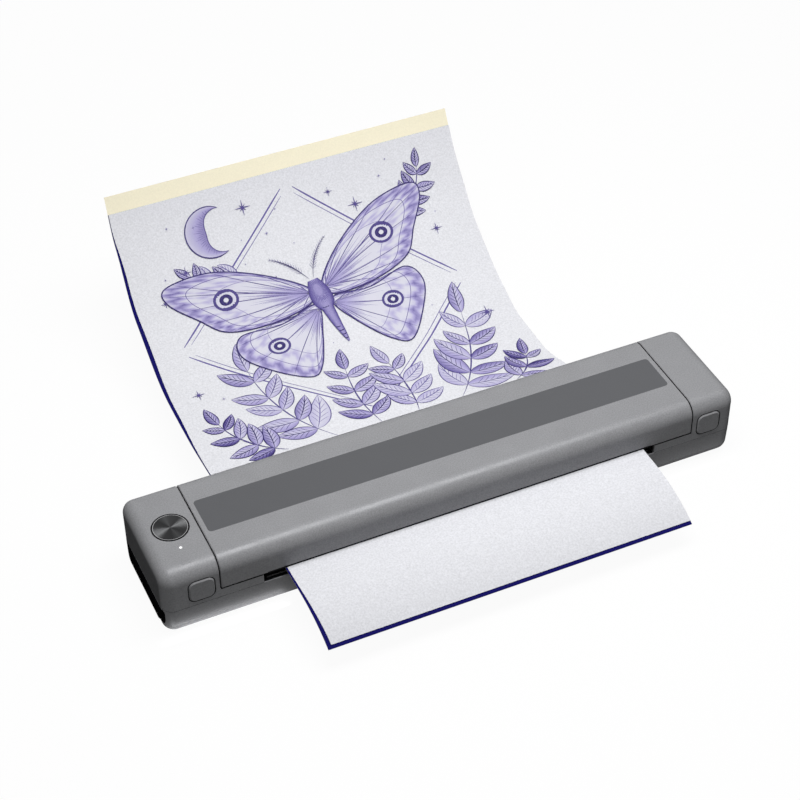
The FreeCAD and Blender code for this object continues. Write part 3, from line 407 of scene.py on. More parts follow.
def sheet_line(along):
    """Depth, height and slope of the middle ply at a length along the sheet."""
    if along < DROOP_START:
        angle = (DROOP_START - along) / DROOP_RADIUS
        depth = DROOP_START - DROOP_RADIUS * math.sin(angle)
        return depth, SLOT_LEVEL - DROOP_RADIUS * (1 - math.cos(angle)), angle
    if along < CURL_START:
        return along, SLOT_LEVEL, 0.0
    angle = (along - CURL_START) / CURL_RADIUS
    depth = CURL_START + CURL_RADIUS * math.sin(angle)
    return depth, SLOT_LEVEL + CURL_RADIUS * (1 - math.cos(angle)), angle


def sheet_point(across, along, lift):
    """A point in metres: across runs from 0 at the left edge to 1, and lift is off the middle ply, in mm."""
    depth, height, slope = sheet_line(along)
    left = eased(LEFT_EDGE, along)
    right = eased(RIGHT_EDGE, along)
    sag = eased(RIGHT_SAG, along) * across ** SAG_POWER
    free = min(1.0, max(0.0, (along - WAVE_START) / WAVE_GROWTH))
    free *= min(1.0, max(0.0, (FAR_END - along) / WAVE_FADE))
    ripple = math.sin(across * WAVE_ACROSS + along * WAVE_SKEW)
    wave = WAVE_HEIGHT * free * ripple * math.sin(along * WAVE_ALONG)
    height += sag + wave + lift * math.cos(slope)
    depth -= lift * math.sin(slope)
    return Vector((left + (right - left) * across, depth, height)) * MM


def lengths(start, end, step):
    count = max(2, math.ceil((end - start) / step))
    return [start + (end - start) * i / count for i in range(count + 1)]


def mesh_piece(name, points, faces, body, slot, smooth=True):
    mesh = bpy.data.meshes.new(name)
    mesh.from_pydata(points, [], faces)
    if smooth:
        mesh.shade_smooth()
    piece = bpy.data.objects.new(name, mesh)
    scene.collection.objects.link(piece)
    mesh.materials.append(FINISHES[slot])
    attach(piece, body)
    return piece


def make_ply(name, node, slot, layer, start, end, narrow=False, with_pieces=()):
    """A closed thin ply: an upper and a lower skin on one grid, and a wall round the edge."""
    columns = PLY_COLUMNS
    rows = lengths(start, end, PLY_STEP)
    points = []
    for side in (1, -1):
        for along in rows:
            left = eased(LEFT_EDGE, along)
            width = eased(RIGHT_EDGE, along) - left
            inset = eased(CARBON_SHOWS, along) if narrow else 0.0
            for i in range(columns + 1):
                across = (inset + (width - inset) * i / columns) / width
                points.append(sheet_point(across, along, layer * PLY_PITCH + side * PLY_HALF))
    stride = columns + 1
    skin = stride * len(rows)
    faces = []
    for j in range(len(rows) - 1):
        for i in range(columns):
            a = j * stride + i
            faces.append((a, a + 1, a + 1 + stride, a + stride))
            faces.append((a + skin, a + skin + stride, a + skin + stride + 1, a + skin + 1))
    last = len(rows) - 1
    rim = list(range(stride))
    rim += [j * stride + columns for j in range(1, len(rows))]
    rim += [last * stride + i for i in range(columns - 1, -1, -1)]
    rim += [j * stride for j in range(last - 1, 0, -1)]
    for a, b in zip(rim, rim[1:] + rim[:1]):
        faces.append((b, a, a + skin, b + skin))
    piece = mesh_piece(name, points, faces, "stencil_sheet", slot)
    piece.data.set_sharp_from_angle(angle=math.radians(40))
    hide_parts(node)
    return piece


# Small fittings: black strips of painted shade in the seams, gaps, slot and parting groove, a painted
# highlight ring on the key, a pale strip of painted highlight in the slot, black bands round the case ends,
# leaf springs and floor screws.

COVER_LOW, COVER_HIGH = (Vector(corner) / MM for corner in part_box("top_cover"))
SEAM = 0.6
NOSE_RADIUS, TAIL_RADIUS = 8.0, 6.5
SPLIT = 18.0
ARC_STEPS = 12
SIDES = (("left", -1), ("right", 1))


def section(inset, front_foot, rear_foot):
    """The housing's upper outline in depth and height, from the front foot over the top to the rear foot."""
    front, back, top = COVER_LOW.y + inset, COVER_HIGH.y - inset, COVER_HIGH.z - inset
    nose, tail = NOSE_RADIUS - inset, TAIL_RADIUS - inset
    places = [(front, front_foot)]
    for i in range(ARC_STEPS + 1):
        angle = math.pi - math.pi / 2 * i / ARC_STEPS
        places.append((front + nose + nose * math.cos(angle), top - nose + nose * math.sin(angle)))
    for i in range(ARC_STEPS + 1):
        angle = math.pi / 2 - math.pi / 2 * i / ARC_STEPS
        places.append((back - tail + tail * math.cos(angle), top - tail + tail * math.sin(angle)))
    return places + [(back, rear_foot)]


def rounded(half_width, half_height, corner, steps=7):
    """The corners of a rounded oblong about its middle."""
    places = []
    for k, (sx, sy) in enumerate(((1, 1), (-1, 1), (-1, -1), (1, -1))):
        for i in range(steps + 1):
            angle = math.pi / 2 * (k + i / steps)
            x = sx * (half_width - corner) + corner * math.cos(angle)
            places.append((x, sy * (half_height - corner) + corner * math.sin(angle)))
    return places


def circle(radius, count=64):
    angles = [math.tau * i / count for i in range(count)]
    return [(radius * math.cos(angle), radius * math.sin(angle)) for angle in angles]


def in_mm(spot, z):
    """A point in metres from a spot in plan and a height, both in mm."""
    return Vector((*spot, z)) * MM


def face_out(piece):
    """Turns every face of a closed piece outward."""
    form = bmesh.new()
    form.from_mesh(piece.data)
    bmesh.ops.recalc_face_normals(form, faces=form.faces)
    form.to_mesh(piece.data)
    form.free()
    return piece


def band(name, outer, inner, span, place, body, slot, closed):
    """A flat strip between two lines, with a thickness."""
    points = []
    for a, b in zip(outer, inner):
        points += [place(a, span[0]), place(a, span[1]), place(b, span[1]), place(b, span[0])]
    count = len(outer)
    faces = []
    for i in range(count if closed else count - 1):
        p, q = 4 * i, 4 * ((i + 1) % count)
        faces += [(p + k, p + (k + 1) % 4, q + (k + 1) % 4, q + k) for k in range(4)]
    if not closed:
        faces += [(0, 1, 2, 3), tuple(4 * count - 4 + k for k in range(4))]
    return face_out(mesh_piece(name, points, faces, body, slot, smooth=False))


# Painted shade: black strips in the seams beside the cover.
SEAM_SHADE_INSETS = (0.42, 1.3)
SEAM_SHADE_THICKNESS = 0.1
BLOCK_SEAM_SHADE_FOOT = SPLIT + 0.3


def make_seam_shade():
    """Black strips on both sides of the gap between the cover and each end block: painted shade that darkens
    the seam.
    """
    for side, sign in SIDES:
        def place(spot, x, sign=sign):
            return Vector((sign * x, *spot)) * MM

        edge = COVER_HIGH.x
        feet = (COVER_LOW.z + 0.5, COVER_LOW.z + 1.5)
        lines = [section(inset, *feet) for inset in SEAM_SHADE_INSETS]
        span = (edge, edge + SEAM_SHADE_THICKNESS)
        band(f"{side}_cover_seam_shade", *lines, span, place, "cover", "inner_plastic", False)
        lines = [section(inset, BLOCK_SEAM_SHADE_FOOT, BLOCK_SEAM_SHADE_FOOT) for inset in SEAM_SHADE_INSETS]
        edge += SEAM
        span = (edge - SEAM_SHADE_THICKNESS, edge)
        band(f"{side}_block_seam_shade", *lines, span, place, "base", "inner_plastic", False)


RELEASE_X, RELEASE_Z = 143.9, 27.4
RELEASE_HALF, RELEASE_RISE, RELEASE_CORNER = 6.7, 6.6, 3.5
RELEASE_GAPS = (0.55, 0.05)
KEY_GAP_SHADE, KEY_EDGE_SHADE, KEY_HIGHLIGHT_RIM = (9.72, 9.24), (9.19, 8.85), (8.83, 8.63)


def make_gap_shade():
    """Black rings in the gaps round the release buttons and the power key, and a black ring on the key's
    edge: painted shade that darkens and widens the gaps. A bright steel ring inside them is a painted
    highlight on the key's bevel.
    """
    front = COVER_LOW.y
    for side, sign in SIDES:
        def place(spot, y, sign=sign):
            return Vector((sign * RELEASE_X + spot[0], y, RELEASE_Z + spot[1])) * MM

        loops = [rounded(RELEASE_HALF + g, RELEASE_RISE + g, RELEASE_CORNER + g) for g in RELEASE_GAPS]
        # Painted shade: a black ring in the gap round each release button.
        span = (front - 0.02, front + 0.5)
        band(f"{side}_release_gap_shade", *loops, span, place, "base", "inner_plastic", True)
    top = COVER_HIGH.z

    def place(spot, z):
        return Vector((BUTTON_MIDDLE.x + spot[0] * MM, BUTTON_MIDDLE.y + spot[1] * MM, z * MM))

    # Painted shade: black rings in the key's gap and on its edge. Painted highlight: a bright steel ring on
    # its bevel.
    for name, radii, span, body, slot in (
        ("power_key_gap_shade", KEY_GAP_SHADE, (top - 0.5, top + 0.02), "base", "inner_plastic"),
        ("power_key_edge_shade", KEY_EDGE_SHADE, (top + 0.08, top + 0.13), "power_key", "inner_plastic"),
        ("power_key_highlight_rim", KEY_HIGHLIGHT_RIM, (top + 0.08, top + 0.14), "power_key", "steel"),
    ):
        band(name, circle(radii[0]), circle(radii[1]), span, place, body, slot, True)


SLOT_REACH = 111.3
HIGHLIGHT_STRIP_INSET = 2.2
LEDGE_DEPTHS, HIGHLIGHT_STRIP_DEPTHS, LIP_DEPTHS, RAIL_DEPTHS = (0.4, 5.1), (2.4, 2.9), (-0.02, 0.5), (-0.02, 1.8)


def make_slot_shade():
    """Black strips on the slot's ledge, under the cover's lip and on the rails: painted shade that darkens
    the slot and the seams beside it. A pale strip across the slot is a painted highlight that stands for a
    guide's lit edge.
    """
    front, reach = COVER_LOW.y, SLOT_REACH
    # Painted shade: black strips on the ledge, under the lip and on the rails.
    xs = lengths(-reach, reach, 12.0)
    lines = [[(x, front + y) for x in xs] for y in LEDGE_DEPTHS]
    band("slot_ledge_shade", *lines, (SPLIT - 0.02, SPLIT + 0.06), in_mm, "base", "inner_plastic", False)
    # Painted highlight: a pale strip that stands for the lit edge of a guide.
    xs = lengths(HIGHLIGHT_STRIP_INSET - reach, reach - HIGHLIGHT_STRIP_INSET, 12.0)
    lines = [[(x, front + y) for x in xs] for y in HIGHLIGHT_STRIP_DEPTHS]
    band("slot_highlight_strip", *lines, (SPLIT + 0.04, SPLIT + 0.4), in_mm, "base", "body_plastic", False)
    lines = [[(x, front + y) for x in xs] for y in LIP_DEPTHS]
    lip = COVER_LOW.z
    band("slot_lip_shade", *lines, (lip - 0.58, lip + 0.4), in_mm, "cover", "inner_plastic", False)
    rail = lip - SEAM
    for side, sign in SIDES:
        xs = lengths(reach + 0.4, COVER_HIGH.x + 0.4, 6.0)
        lines = [[(sign * x, front + y) for x in xs] for y in RAIL_DEPTHS]
        span = (rail - 0.25, rail + 0.06)
        band(f"{side}_rail_shade", *lines, span, in_mm, "base", "inner_plastic", False)


END_RADIUS = 6.5
HULL_TAPER = 1.0
PARTING_START = 111.6
PARTING_INSETS = (0.05, 0.5)
PARTING_DEPTH = 0.24
CASE_LOW, CASE_HIGH = (Vector(corner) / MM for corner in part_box("lower_case"))
CASE_ENDS = (("left", -1, CASE_LOW.x), ("right", 1, CASE_HIGH.x))


def make_parting_shade():
    """A thin black strip in the groove between the lower case and each end block: painted shade that draws
    the parting line.
    """
    def outline(end, sign, inset):
        radius = END_RADIUS - inset
        corner_x, corner_y = end - sign * END_RADIUS, CASE_HIGH.y - END_RADIUS
        spots = [(sign * PARTING_START, -corner_y - radius)]
        for facing in (-1, 1):
            turns = [math.pi / 2 * i / 10 for i in range(11)]
            for angle in turns if facing > 0 else reversed(turns):
                x = corner_x + sign * radius * math.cos(angle)
                spots.append((x, facing * (corner_y + radius * math.sin(angle))))
        return spots + [(sign * PARTING_START, corner_y + radius)]

    # Painted shade: a black strip that draws the parting line.
    for side, sign, end in CASE_ENDS:
        lines = [outline(end, sign, inset) for inset in PARTING_INSETS]
        span = (SPLIT - PARTING_DEPTH, SPLIT)
        band(f"{side}_parting_shade", *lines, span, in_mm, "base", "inner_plastic", False)


BAND_FOOT, BAND_HEAD = 7.6, 17.4
BAND_LAP = 2.1
BAND_SKINS = (0.05, -0.1)
BAND_TURN = math.radians(34)
BAND_TRIM = 0.3


def make_end_bands():
    """A black band round each end of the lower case, which carries the end panel's black over its top edge
    and round both corners.
    """
    rise = CASE_HIGH.z - CASE_LOW.z
    foot, head = BAND_FOOT, BAND_HEAD
    steps, turns, levels = 24, 8, 10
    for side, sign, end in CASE_ENDS:
        points, faces = [], []
        for lift in BAND_SKINS:
            for j in range(levels + 1):
                for k in range(-steps - turns, steps + turns + 1):
                    flat = min(abs(k), steps) / steps
                    facing = 1 if k > 0 else -1
                    under = eased(((0.75, head - BAND_LAP), (0.9, foot)), flat)
                    z = under + (head - under) * j / levels
                    reach = CASE_HIGH.y - HULL_TAPER * (CASE_HIGH.z - z) / rise - END_RADIUS
                    trim = 1 - BAND_TRIM * abs((z - foot) / (head - foot) * 2 - 1) ** 5
                    angle = BAND_TURN * trim * max(0, abs(k) - steps) / turns
                    out = (END_RADIUS + lift) * math.cos(angle) - END_RADIUS
                    y = facing * (reach * flat + (END_RADIUS + lift) * math.sin(angle))
                    points.append(Vector((end + sign * out, y, z)) * MM)
        stride = 2 * (steps + turns) + 1
        skin = stride * (levels + 1)
        for j in range(levels):
            for i in range(stride - 1):
                a = j * stride + i
                faces.append((a, a + 1, a + 1 + stride, a + stride))
                faces.append((a + skin, a + 1 + skin, a + 1 + stride + skin, a + stride + skin))
        rim = list(range(stride)) + [stride - 1 + stride * j for j in range(1, levels + 1)]
        rim += list(range(skin - 2, skin - stride - 1, -1)) + [stride * j for j in range(levels - 1, 0, -1)]
        for a, b in zip(rim, rim[1:] + rim[:1]):
            faces.append((a, b, b + skin, a + skin))
        face_out(mesh_piece(f"{side}_end_black_band", points, faces, "base", "gloss_black"))


LEAF_HALF, LEAF_BEND = 0.18, 1.6


def make_leaf_springs():
    """Z-shaped leaf springs behind the release buttons."""
    for side in ("left", "right"):
        node = f"{side}_release_spring"
        low, high = (Vector(corner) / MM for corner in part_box(node))
        near, far = low.y + LEAF_HALF, high.y - LEAF_HALF
        first, second = Vector((high.x - LEAF_HALF, near)), Vector((low.x + LEAF_HALF, far))
        slope = (second - first).normalized() * LEAF_BEND
        path = [Vector((low.x, near))] + bend((first.x - LEAF_BEND, near), first, first + slope, 8)
        path += bend(second - slope, second, (second.x + LEAF_BEND, far), 8) + [Vector((high.x, far))]
        lines = ([], [])
        for i, spot in enumerate(path):
            ahead = (path[min(i + 1, len(path) - 1)] - path[max(i - 1, 0)]).normalized()
            across = Vector((-ahead.y, ahead.x)) * LEAF_HALF
            lines[0].append(spot - across)
            lines[1].append(spot + across)
        piece = band(f"{side}_leaf_spring", *lines, (low.z, high.z), in_mm, "base", "steel", False)
        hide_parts(node)
        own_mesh(piece)


SCREW_RADIUS = 2.35
SCREW_INSET, SCREW_Y = 10.5, 21.25
SCREW_FACE, SCREW_DOME, SCREW_TOP = 1.05, 0.3, 1.98
CROSS_REACH, CROSS_HALF, CROSS_DEPTH = 1.5, 0.3, 0.4


def make_screws():
    """Four screw heads in the floor wells, domed and cross-slotted."""
    rings, spokes, radius = 12, 48, SCREW_RADIUS
    points, faces = [], []
    for x in (CASE_LOW.x + SCREW_INSET, CASE_HIGH.x - SCREW_INSET):
        for y in (-SCREW_Y, SCREW_Y):
            first = len(points)
            for j in range(rings + 1):
                r = radius * (0.02 + 0.98 * j / rings)
                for i in range(spokes):
                    angle = math.tau * i / spokes
                    u, v = r * math.cos(angle), r * math.sin(angle)
                    z = SCREW_FACE + SCREW_DOME * (r / radius) ** 3
                    if r < CROSS_REACH and min(abs(u), abs(v)) < CROSS_HALF:
                        z += CROSS_DEPTH
                    points.append(Vector((x + u, y + v, z)) * MM)
            for u, v in circle(radius, spokes):
                points.append(Vector((x + u, y + v, SCREW_TOP)) * MM)
            faces.append(tuple(first + i for i in range(spokes)))
            faces.append(tuple(first + (rings + 1) * spokes + i for i in range(spokes)))
            for j in range(rings + 1):
                for i in range(spokes):
                    a, b = first + j * spokes + i, first + j * spokes + (i + 1) % spokes
                    faces.append((a, b, b + spokes, a + spokes))
    face_out(mesh_piece("floor_screws", points, faces, "base", "steel", smooth=False))


# Print: a drawing in ink on the rear half of the sheet, laid out in millimetres across and along it.

DRAW_LEFT, DRAW_WIDTH = -107, 212


class Drawing:
    """Strokes and washes that lie on the top ply, each a little above those drawn before it."""

    def __init__(self):
        self.points = []
        self.faces = []
        self.inks = []
        self.lift = PLY_PITCH + PLY_HALF + 0.04

    def rise(self, amount):
        self.lift += amount

    def dot(self, place, ink):
        across = (place[0] - DRAW_LEFT) / DRAW_WIDTH
        self.points.append(sheet_point(across, place[1], self.lift))
        self.inks.append(max(0.0, min(1.0, ink)))
        return len(self.points) - 1

    def wash(self, rows):
        """A patch from rows of places, each with its ink."""
        ids = [[self.dot(place, ink) for place, ink in row] for row in rows]
        for first, second in zip(ids, ids[1:]):
            for i in range(len(first) - 1):
                self.faces.append((first[i], first[i + 1], second[i + 1], second[i]))

    def stroke(self, path, width, ink, fade=0.35):
        """A line of ink that thins towards both ends."""
        path = [Vector(place) for place in path]
        last = len(path) - 1
        rows = []
        for i, place in enumerate(path):
            ahead = path[min(i + 1, last)] - path[max(i - 1, 0)]
            if ahead.length < 1e-9:
                ahead = Vector((1, 0))
            side = Vector((-ahead.y, ahead.x)).normalized()
            share = i / last
            taper = min(1.0, (share + 0.04) / fade, (1.04 - share) / fade) if fade else 1.0
            half = 0.5 * width * taper ** 0.7
            rows.append([(place - side * half, ink), (place + side * half, ink)])
        self.wash(rows)


def bend(start, middle, end, count=14):
    """Places along a curve that leaves start and reaches end, pulled towards middle."""
    start, middle, end = Vector(start), Vector(middle), Vector(end)
    places = []
    for i in range(count + 1):
        t = i / count
        places.append(start * (1 - t) ** 2 + middle * 2 * t * (1 - t) + end * t * t)
    return places


def loop(corners, steps):
    """A smooth closed line through given places."""
    corners = [Vector(corner) for corner in corners]
    count = len(corners)
    places = []
    for i in range(count):
        p0, p1, p2, p3 = (corners[(i + k) % count] for k in (-1, 0, 1, 2))
        for j in range(steps):
            t = j / steps
            places.append(0.5 * (
                2 * p1 + (p2 - p0) * t + (2 * p0 - 5 * p1 + 4 * p2 - p3) * t * t
                + (3 * p1 - p0 - 3 * p2 + p3) * t * t * t
            ))
    return places


def draw_leaf(pen, base, tip, width, pull, tone):
    """A pointed leaf, darker on one side of its rib, with veins."""
    base, tip = Vector(base), Vector(tip)
    along = tip - base
    side = Vector((-along.y, along.x)).normalized()
    last = 16
    spine = bend(base, (base + tip) / 2 + side * pull, tip, last)
    normals = []
    for i in range(last + 1):
        ahead = spine[min(i + 1, last)] - spine[max(i - 1, 0)]
        normals.append(Vector((-ahead.y, ahead.x)).normalized())
    halves = [0.5 * width * math.sin(math.pi * (i / last) ** 0.8) ** 0.85 + 0.05 for i in range(last + 1)]
    rows = []
    for i in range(last + 1):
        row = []
        for k in range(-3, 4):
            v = k / 3
            shade = tone * (0.45 + 0.4 * abs(v) ** 1.5 + (0.25 if v > 0 else 0.0) - 0.2 * i / last)
            row.append((spine[i] + normals[i] * halves[i] * v, shade))
        rows.append(row)
    pen.wash(rows)
    pen.rise(0.004)
    for sign in (-1, 1):
        margin = [spine[i] + normals[i] * halves[i] * sign for i in range(last + 1)]
        pen.stroke(margin, 0.55, min(1.0, tone + 0.5))
        for i in range(3, 13, 2):
            end = spine[i + 3] + normals[i + 3] * halves[i + 3] * 0.82 * sign
            pen.stroke(bend(spine[i], (spine[i + 1] + end) / 2, end, 5), 0.32, min(1.0, tone + 0.35))
    pen.stroke(spine, 0.6, min(1.0, tone + 0.4))


def draw_spray(pen, start, heading, length, turn, pairs, size, tone, dice):
    """A stem with leaves that alternate along it."""
    place = Vector(start)
    angle = math.radians(heading)
    steps = 24
    stem = [place.copy()]
    angles = [angle]
    for _ in range(steps):
        place = place + Vector((math.cos(angle), math.sin(angle))) * (length / steps)
        angle += math.radians(turn) / steps
        stem.append(place.copy())
        angles.append(angle)
    pen.stroke(stem, 1.0, 0.85, 0.6)
    pen.rise(0.004)
    for i in range(pairs):
        at = int(4 + (steps - 7) * i / max(1, pairs - 1))
        for sign in (-1, 1):
            lean = angles[at] + sign * math.radians(46 + 14 * dice.random())
            reach = size * (1.0 - 0.35 * i / pairs) * (0.85 + 0.3 * dice.random())
            tip = stem[at] + Vector((math.cos(lean), math.sin(lean))) * reach
            shade = tone * (0.55 + 0.75 * dice.random())
            draw_leaf(pen, stem[at], tip, reach * 0.42, sign * reach * 0.1, shade)
    tip = stem[-1] + Vector((math.cos(angle), math.sin(angle))) * size * 0.8
    draw_leaf(pen, stem[-1], tip, size * 0.32, size * 0.05, tone)


def draw_wing(pen, place, root, corners, veins, spot):
    """A moth's wing: washes in rings about its root, a scalloped margin, veins, hatching and an eye spot."""
    root = Vector(root)
    edge = loop(corners, 10)
    count = len(edge)
    rings = 18
    rows = []
    for j in range(rings + 1):
        f = 0.03 + 0.97 * j / rings
        row = []
        for i in range(count + 1):
            target = edge[i % count]
            ripple = 0.04 * math.cos(i / count * veins * 4 * math.pi)
            dark = 0.62 * max(0.0, 1 - abs(f + ripple - 0.93) / 0.09)
            stripe = 0.30 * max(0.0, 1 - abs(f - ripple - 0.70) / 0.07)
            base = 0.5 * max(0.0, 1 - f / 0.36)
            row.append((place(root + (target - root) * f), 0.09 + base + stripe + dark))
        rows.append(row)
    pen.wash(rows)
    pen.rise(0.012)
    for f, width, ink in ((1.0, 0.75, 0.95), (0.84, 0.4, 0.7), (0.63, 0.35, 0.55)):
        ring = [place(root + (target - root) * f) for target in edge + edge[:1]]
        pen.stroke(ring, width, ink, 0)
    for k in range(veins):
        at = int((k + 0.5) * count / veins) % count
        target = edge[at]
        sway = Vector((-(target - root).y, (target - root).x)) * 0.05 * math.sin(k * 1.7)
        path = bend(root, (root + target) / 2 + sway, target, 16)
        pen.stroke([place(p) for p in path], 0.5, 0.85, 0.5)
        for side in range(1, 6):
            other = edge[(at + side * max(1, count // (veins * 6))) % count]
            start = root + (other - root) * (0.10 + 0.012 * ((k * 5 + side * 3) % 7))
            stop = root + (other - root) * (0.34 + 0.03 * ((k * 3 + side * 5) % 8))
            pen.stroke([place(start + (stop - start) * t / 6) for t in range(7)], 0.26, 0.6, 0.5)
    pen.rise(0.006)
    centre, radius = Vector(spot[:2]), spot[2]
    for share, ink in ((1.0, 0.85), (0.78, 0.12), (0.52, 0.95), (0.2, 0.05)):
        angles = [i * math.pi / 10 for i in range(21)]
        ring = [Vector((math.cos(angle) * 1.15, math.sin(angle))) for angle in angles]
        rows = []
        for f in (0.02, 0.5, 1.0):
            rows.append([(place(centre + spoke * radius * share * f), ink) for spoke in ring])
        pen.wash(rows)
        pen.rise(0.005)


FOREWING = ((4, 8), (26, 27), (54, 41), (81, 43), (84, 34), (72, 17), (60, 3), (34, -3), (8, -1))
HINDWING = ((5, -3), (30, -6), (55, -3), (61, -16), (50, -34), (34, -49), (24, -44), (12, -24))


def draw_moth(pen, middle, tilt, size):
    """A moth with spread wings, seen from above."""
    middle = Vector(middle)
    turn = Matrix.Rotation(math.radians(tilt), 2)

    def placer(mirror):
        return lambda p: middle + turn @ Vector((p[0] * mirror, p[1])) * size

    for mirror in (-1, 1):
        place = placer(mirror)
        draw_wing(pen, place, (5, -6), HINDWING, 8, (38, -19, 6.0))
        draw_wing(pen, place, (5, 5), FOREWING, 11, (52, 22, 6.8))
    place = placer(1)
    rows = []
    for j in range(15):
        t = j / 14
        y = 12 - 46 * t
        thorax = 5.6 * math.sin(math.pi * min(1.0, t * 1.5 + 0.12)) + 1.2
        half = thorax if t < 0.4 else 5.2 * (1.02 - t) ** 0.6
        rows.append([(place((half * k / 3, y)), 0.5 + 0.4 * abs(k / 3) ** 2) for k in range(-3, 4)])
    pen.wash(rows)
    pen.rise(0.008)
    for j in range(9):
        y = -6 - 3.1 * j
        half = 5.2 * (1.02 - (12 - y) / 46) ** 0.6
        pen.stroke([place((half * k / 4, y - 0.8 * (1 - (k / 4) ** 2))) for k in range(-4, 5)], 0.7, 1.0, 0.3)
    for k in range(34):
        a = k * math.tau / 34
        start = Vector((math.cos(a) * 2.2, 5 + math.sin(a) * 3.6))
        stop = Vector((math.cos(a) * 6.4, 4 + math.sin(a) * 8.2))
        pen.stroke([place(start + (stop - start) * t / 4) for t in range(5)], 0.5, 0.75, 0.6)
    for mirror in (-1, 1):
        place = placer(mirror)
        feeler = bend((1.4, 13), (7, 27), (19, 34), 16)
        pen.stroke([place(p) for p in feeler], 0.6, 0.95, 0.6)
        for i in range(3, 16):
            ahead = (feeler[i] - feeler[i - 1]).normalized()
            for sign in (-1, 1):
                barb = feeler[i] + (ahead * 1.2 + Vector((-ahead.y, ahead.x)) * sign) * 2.6 * (1 - i / 22)
                pen.stroke([place(feeler[i] + (barb - feeler[i]) * t / 3) for t in range(4)], 0.28, 0.8, 0.7)


def draw_crescent(pen, middle, radius):
    """A waning moon with hatching along its inner side."""
    middle = Vector(middle)
    outer, inner = [], []
    for i in range(31):
        a = math.radians(60 + 240 * i / 30)
        outer.append(middle + Vector((math.cos(a), math.sin(a))) * radius)
        pull = math.sin(math.pi * i / 30)
        inner.append(outer[-1] + (middle + Vector((radius * 0.32, 0)) - outer[-1]) * 0.62 * pull)
    rows = []
    for k in range(6):
        f = k / 5
        rows.append([(o + (n - o) * f, 0.18 + 0.42 * f) for o, n in zip(outer, inner)])
    pen.wash(rows)
    pen.rise(0.008)
    pen.stroke(outer, 0.7, 0.9, 0.15)
    pen.stroke(inner, 0.5, 0.85, 0.15)
    for i in range(4, 28):
        start = inner[i] + (outer[i] - inner[i]) * 0.04
        stop = inner[i] + (outer[i] - inner[i]) * (0.35 + 0.25 * (i % 3) / 2)
        pen.stroke([start + (stop - start) * t / 4 for t in range(5)], 0.3, 0.7, 0.6)


def draw_star(pen, middle, size, ink):
    """Four strokes that cross, two long and two short."""
    middle = Vector(middle)
    for k, share in ((0, 1.0), (1, 0.55), (2, 1.0), (3, 0.55)):
        arm = Vector((math.cos(k * math.pi / 4), math.sin(k * math.pi / 4))) * size * share
        pen.stroke([middle - arm + arm * t / 3 for t in range(7)], size * 0.16, ink, 0.5)


DIAMOND = ((-2, 222), (86, 140), (-2, 58), (-90, 140))
DIAMOND_MIDDLE = Vector((-2, 140))
STARS = ((-30, 214), (-72, 186), (22, 210), (36, 199), (80, 172), (-88, 172), (88, 112), (-90, 108))


def make_print():
    """A moth over a diamond frame, with leaf sprays, a crescent and stars."""
    dice = random.Random(11)
    pen = Drawing()
    corners = [Vector(corner) for corner in DIAMOND]
    for a, b in zip(corners, corners[1:] + corners[:1]):
        for share, width in ((1.0, 0.9), (0.955, 0.4)):
            start = DIAMOND_MIDDLE + (a - DIAMOND_MIDDLE) * share
            stop = DIAMOND_MIDDLE + (b - DIAMOND_MIDDLE) * share
            gap = 0.035 + 0.02 * dice.random()
            path = [start + (stop - start) * (gap + (1 - 2 * gap) * t / 44) for t in range(45)]
            pen.stroke(path, width, 0.75, 0.12)
    pen.rise(0.012)
    draw_spray(pen, (-34, 47), 128, 74, -38, 5, 26, 0.5, dice)
    draw_spray(pen, (40, 47), 48, 78, 34, 5, 27, 0.62, dice)
    pen.rise(0.008)
    draw_spray(pen, (-8, 47), 100, 50, -22, 4, 21, 0.75, dice)
    draw_spray(pen, (14, 47), 72, 46, 30, 4, 22, 0.45, dice)
    draw_spray(pen, (-62, 48), 152, 44, -50, 4, 19, 0.8, dice)
    draw_spray(pen, (74, 48), 30, 30, 46, 3, 18, 0.85, dice)
    pen.rise(0.008)
    draw_spray(pen, (58, 186), 20, 34, 62, 4, 14, 0.6, dice)
    draw_spray(pen, (-38, 176), 196, 34, -58, 4, 14, 0.5, dice)
    draw_crescent(pen, (-52, 205), 15)
    for i, place in enumerate(STARS):
        draw_star(pen, place, 4.6 - 0.9 * (i % 3), 0.8)
    for _ in range(26):
        place = (dice.uniform(-92, 90), dice.uniform(96, 222))
        draw_star(pen, place, dice.uniform(0.7, 1.4), 0.7)
    pen.rise(0.012)
    draw_moth(pen, (-1, 150), 8, 0.98)
    mesh = bpy.data.meshes.new("stencil_print")
    mesh.from_pydata(pen.points, [], pen.faces)
    mesh.shade_smooth()
    attribute = mesh.attributes.new("ink", "FLOAT", "POINT")
    attribute.data.foreach_set("value", pen.inks)
    piece = bpy.data.objects.new("stencil_print", mesh)
    scene.collection.objects.link(piece)
    mesh.materials.append(printed_paper().material)
    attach(piece, "stencil_sheet")
    return piece


# Assembly: the camera and stage, the finishes, and every piece in turn.

make_camera()
make_stage()
make_sky()
make_lamp("key", (0.05, -0.04, 0.62), (0.05, 0.12, 0.05), (0.5, 0.26), 3.65)
make_lamp("low_left", (-0.1335, -0.0355, 0.0011), (-0.1335, -0.03, 0.0013), (0.066, 0.002), 0.0044)
make_lamp("low_right", (0.137, -0.0378, 0.0013), (0.137, -0.03, 0.0017), (0.05, 0.002), 0.0005)
make_lamp("rear", (0.0, 0.95, 0.1), (0.0, 0.15, 0.03), (0.9, 0.15), 1.5)

BODY_GREY = (0.288, 0.29, 0.301)
INLAY_GREY = (0.109, 0.111, 0.118)
MOULDING_BLACK = (0.012, 0.012, 0.013)

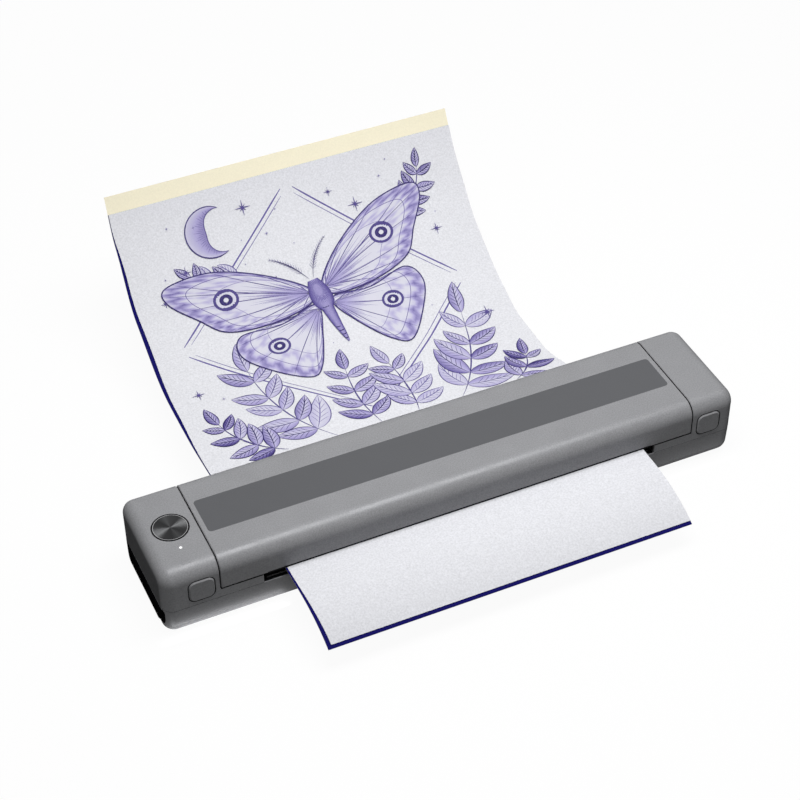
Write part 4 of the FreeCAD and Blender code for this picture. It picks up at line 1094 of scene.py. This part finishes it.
FINISHES = {
    "body_plastic": finish(
        "satin_grey", BODY_GREY, 0.4, 0.15, 1500, 0.12, 0.006 * MM, gloss=0.0, edge=0.0
    ).material,
    "gloss_black": finish("gloss_black", (0.008, 0.008, 0.009), 0.3, 0.0, 300, 0.2, 0.0, 0.05, 0.0).material,
    "dark_inlay": finish("inlay_grey", INLAY_GREY, 0.5, 0.0, 2000, 0.05, 0.005 * MM, gloss=0.08).material,
    "foot_rubber": finish("foot_rubber", (0.02, 0.02, 0.02), 0.8, 0.0, 1200, 0.2, 0.05 * MM).material,
    "steel": finish("plated_steel", (0.5, 0.5, 0.51), 0.3, 1.0, 700, 0.08).material,
    "motor_can": finish("motor_can", (0.16, 0.16, 0.17), 0.4, 0.6, 700, 0.1).material,
    "gear_plastic": finish("acetal", (0.75, 0.74, 0.69), 0.45, 0.0, 600, 0.04).material,
    "platen_rubber": finish("platen_rubber", (0.03, 0.03, 0.032), 0.65, 0.0, 1800, 0.2, 0.03 * MM).material,
    "heat_sink": finish("extruded_aluminium", (0.7, 0.7, 0.71), 0.38, 1.0, 500, 0.06).material,
    "head_ceramic": finish("ceramic", (0.8, 0.78, 0.72), 0.2, 0.0, 400, 0.04).material,
    "ribbon_film": finish("polyimide", (0.6, 0.28, 0.05), 0.3, 0.0, 400, 0.1).material,
    # The black moulding also colours the strips of painted shade, and the plated steel the painted highlight
    # ring on the key.
    "inner_plastic": finish(
        "black_moulding", MOULDING_BLACK, 0.6, 0.0, 1500, 0.15, 0.02 * MM, gloss=0.03
    ).material,
    "battery_wrap": finish("battery_wrap", (0.05, 0.12, 0.4), 0.35, 0.0, 300, 0.08).material,
    "circuit_board": finish("solder_mask", (0.015, 0.13, 0.05), 0.35, 0.0, 500, 0.15).material,
    "button_metal": spun_metal().material,
    "light_pipe": lit_window().material,
    "white_tissue": paper("tissue", TISSUE, 1000, 0.14, 0.02 * MM).material,
    "carbon_paper": paper("carbon", (0.006, 0.005, 0.11), 1400, 0.25, 0.01 * MM).material,
    "cream_paper": paper("cream", (0.96, 0.9, 0.69), 1000, 0.04, 0.01 * MM).material,
}

for part in frame["record"]["subparts"]:
    mesh = nodes[part["node"]].data
    mesh.materials.clear()
    mesh.materials.append(FINISHES[part["material_slot"]])

make_seam_shade()
make_gap_shade()
make_slot_shade()
make_parting_shade()
make_end_bands()
make_leaf_springs()
make_screws()
make_ply("stencil_top", "stencil_top_sheet", "white_tissue", 1, TOP_START, TOP_END, True, [make_print()])
make_ply("stencil_carbon", "stencil_carbon_ply", "carbon_paper", 0, FRONT_END, TOP_END)
make_ply("stencil_backing", "stencil_backing_ply", "cream_paper", -1, FRONT_END, FAR_END)

scene.view_settings.view_transform = "Standard"
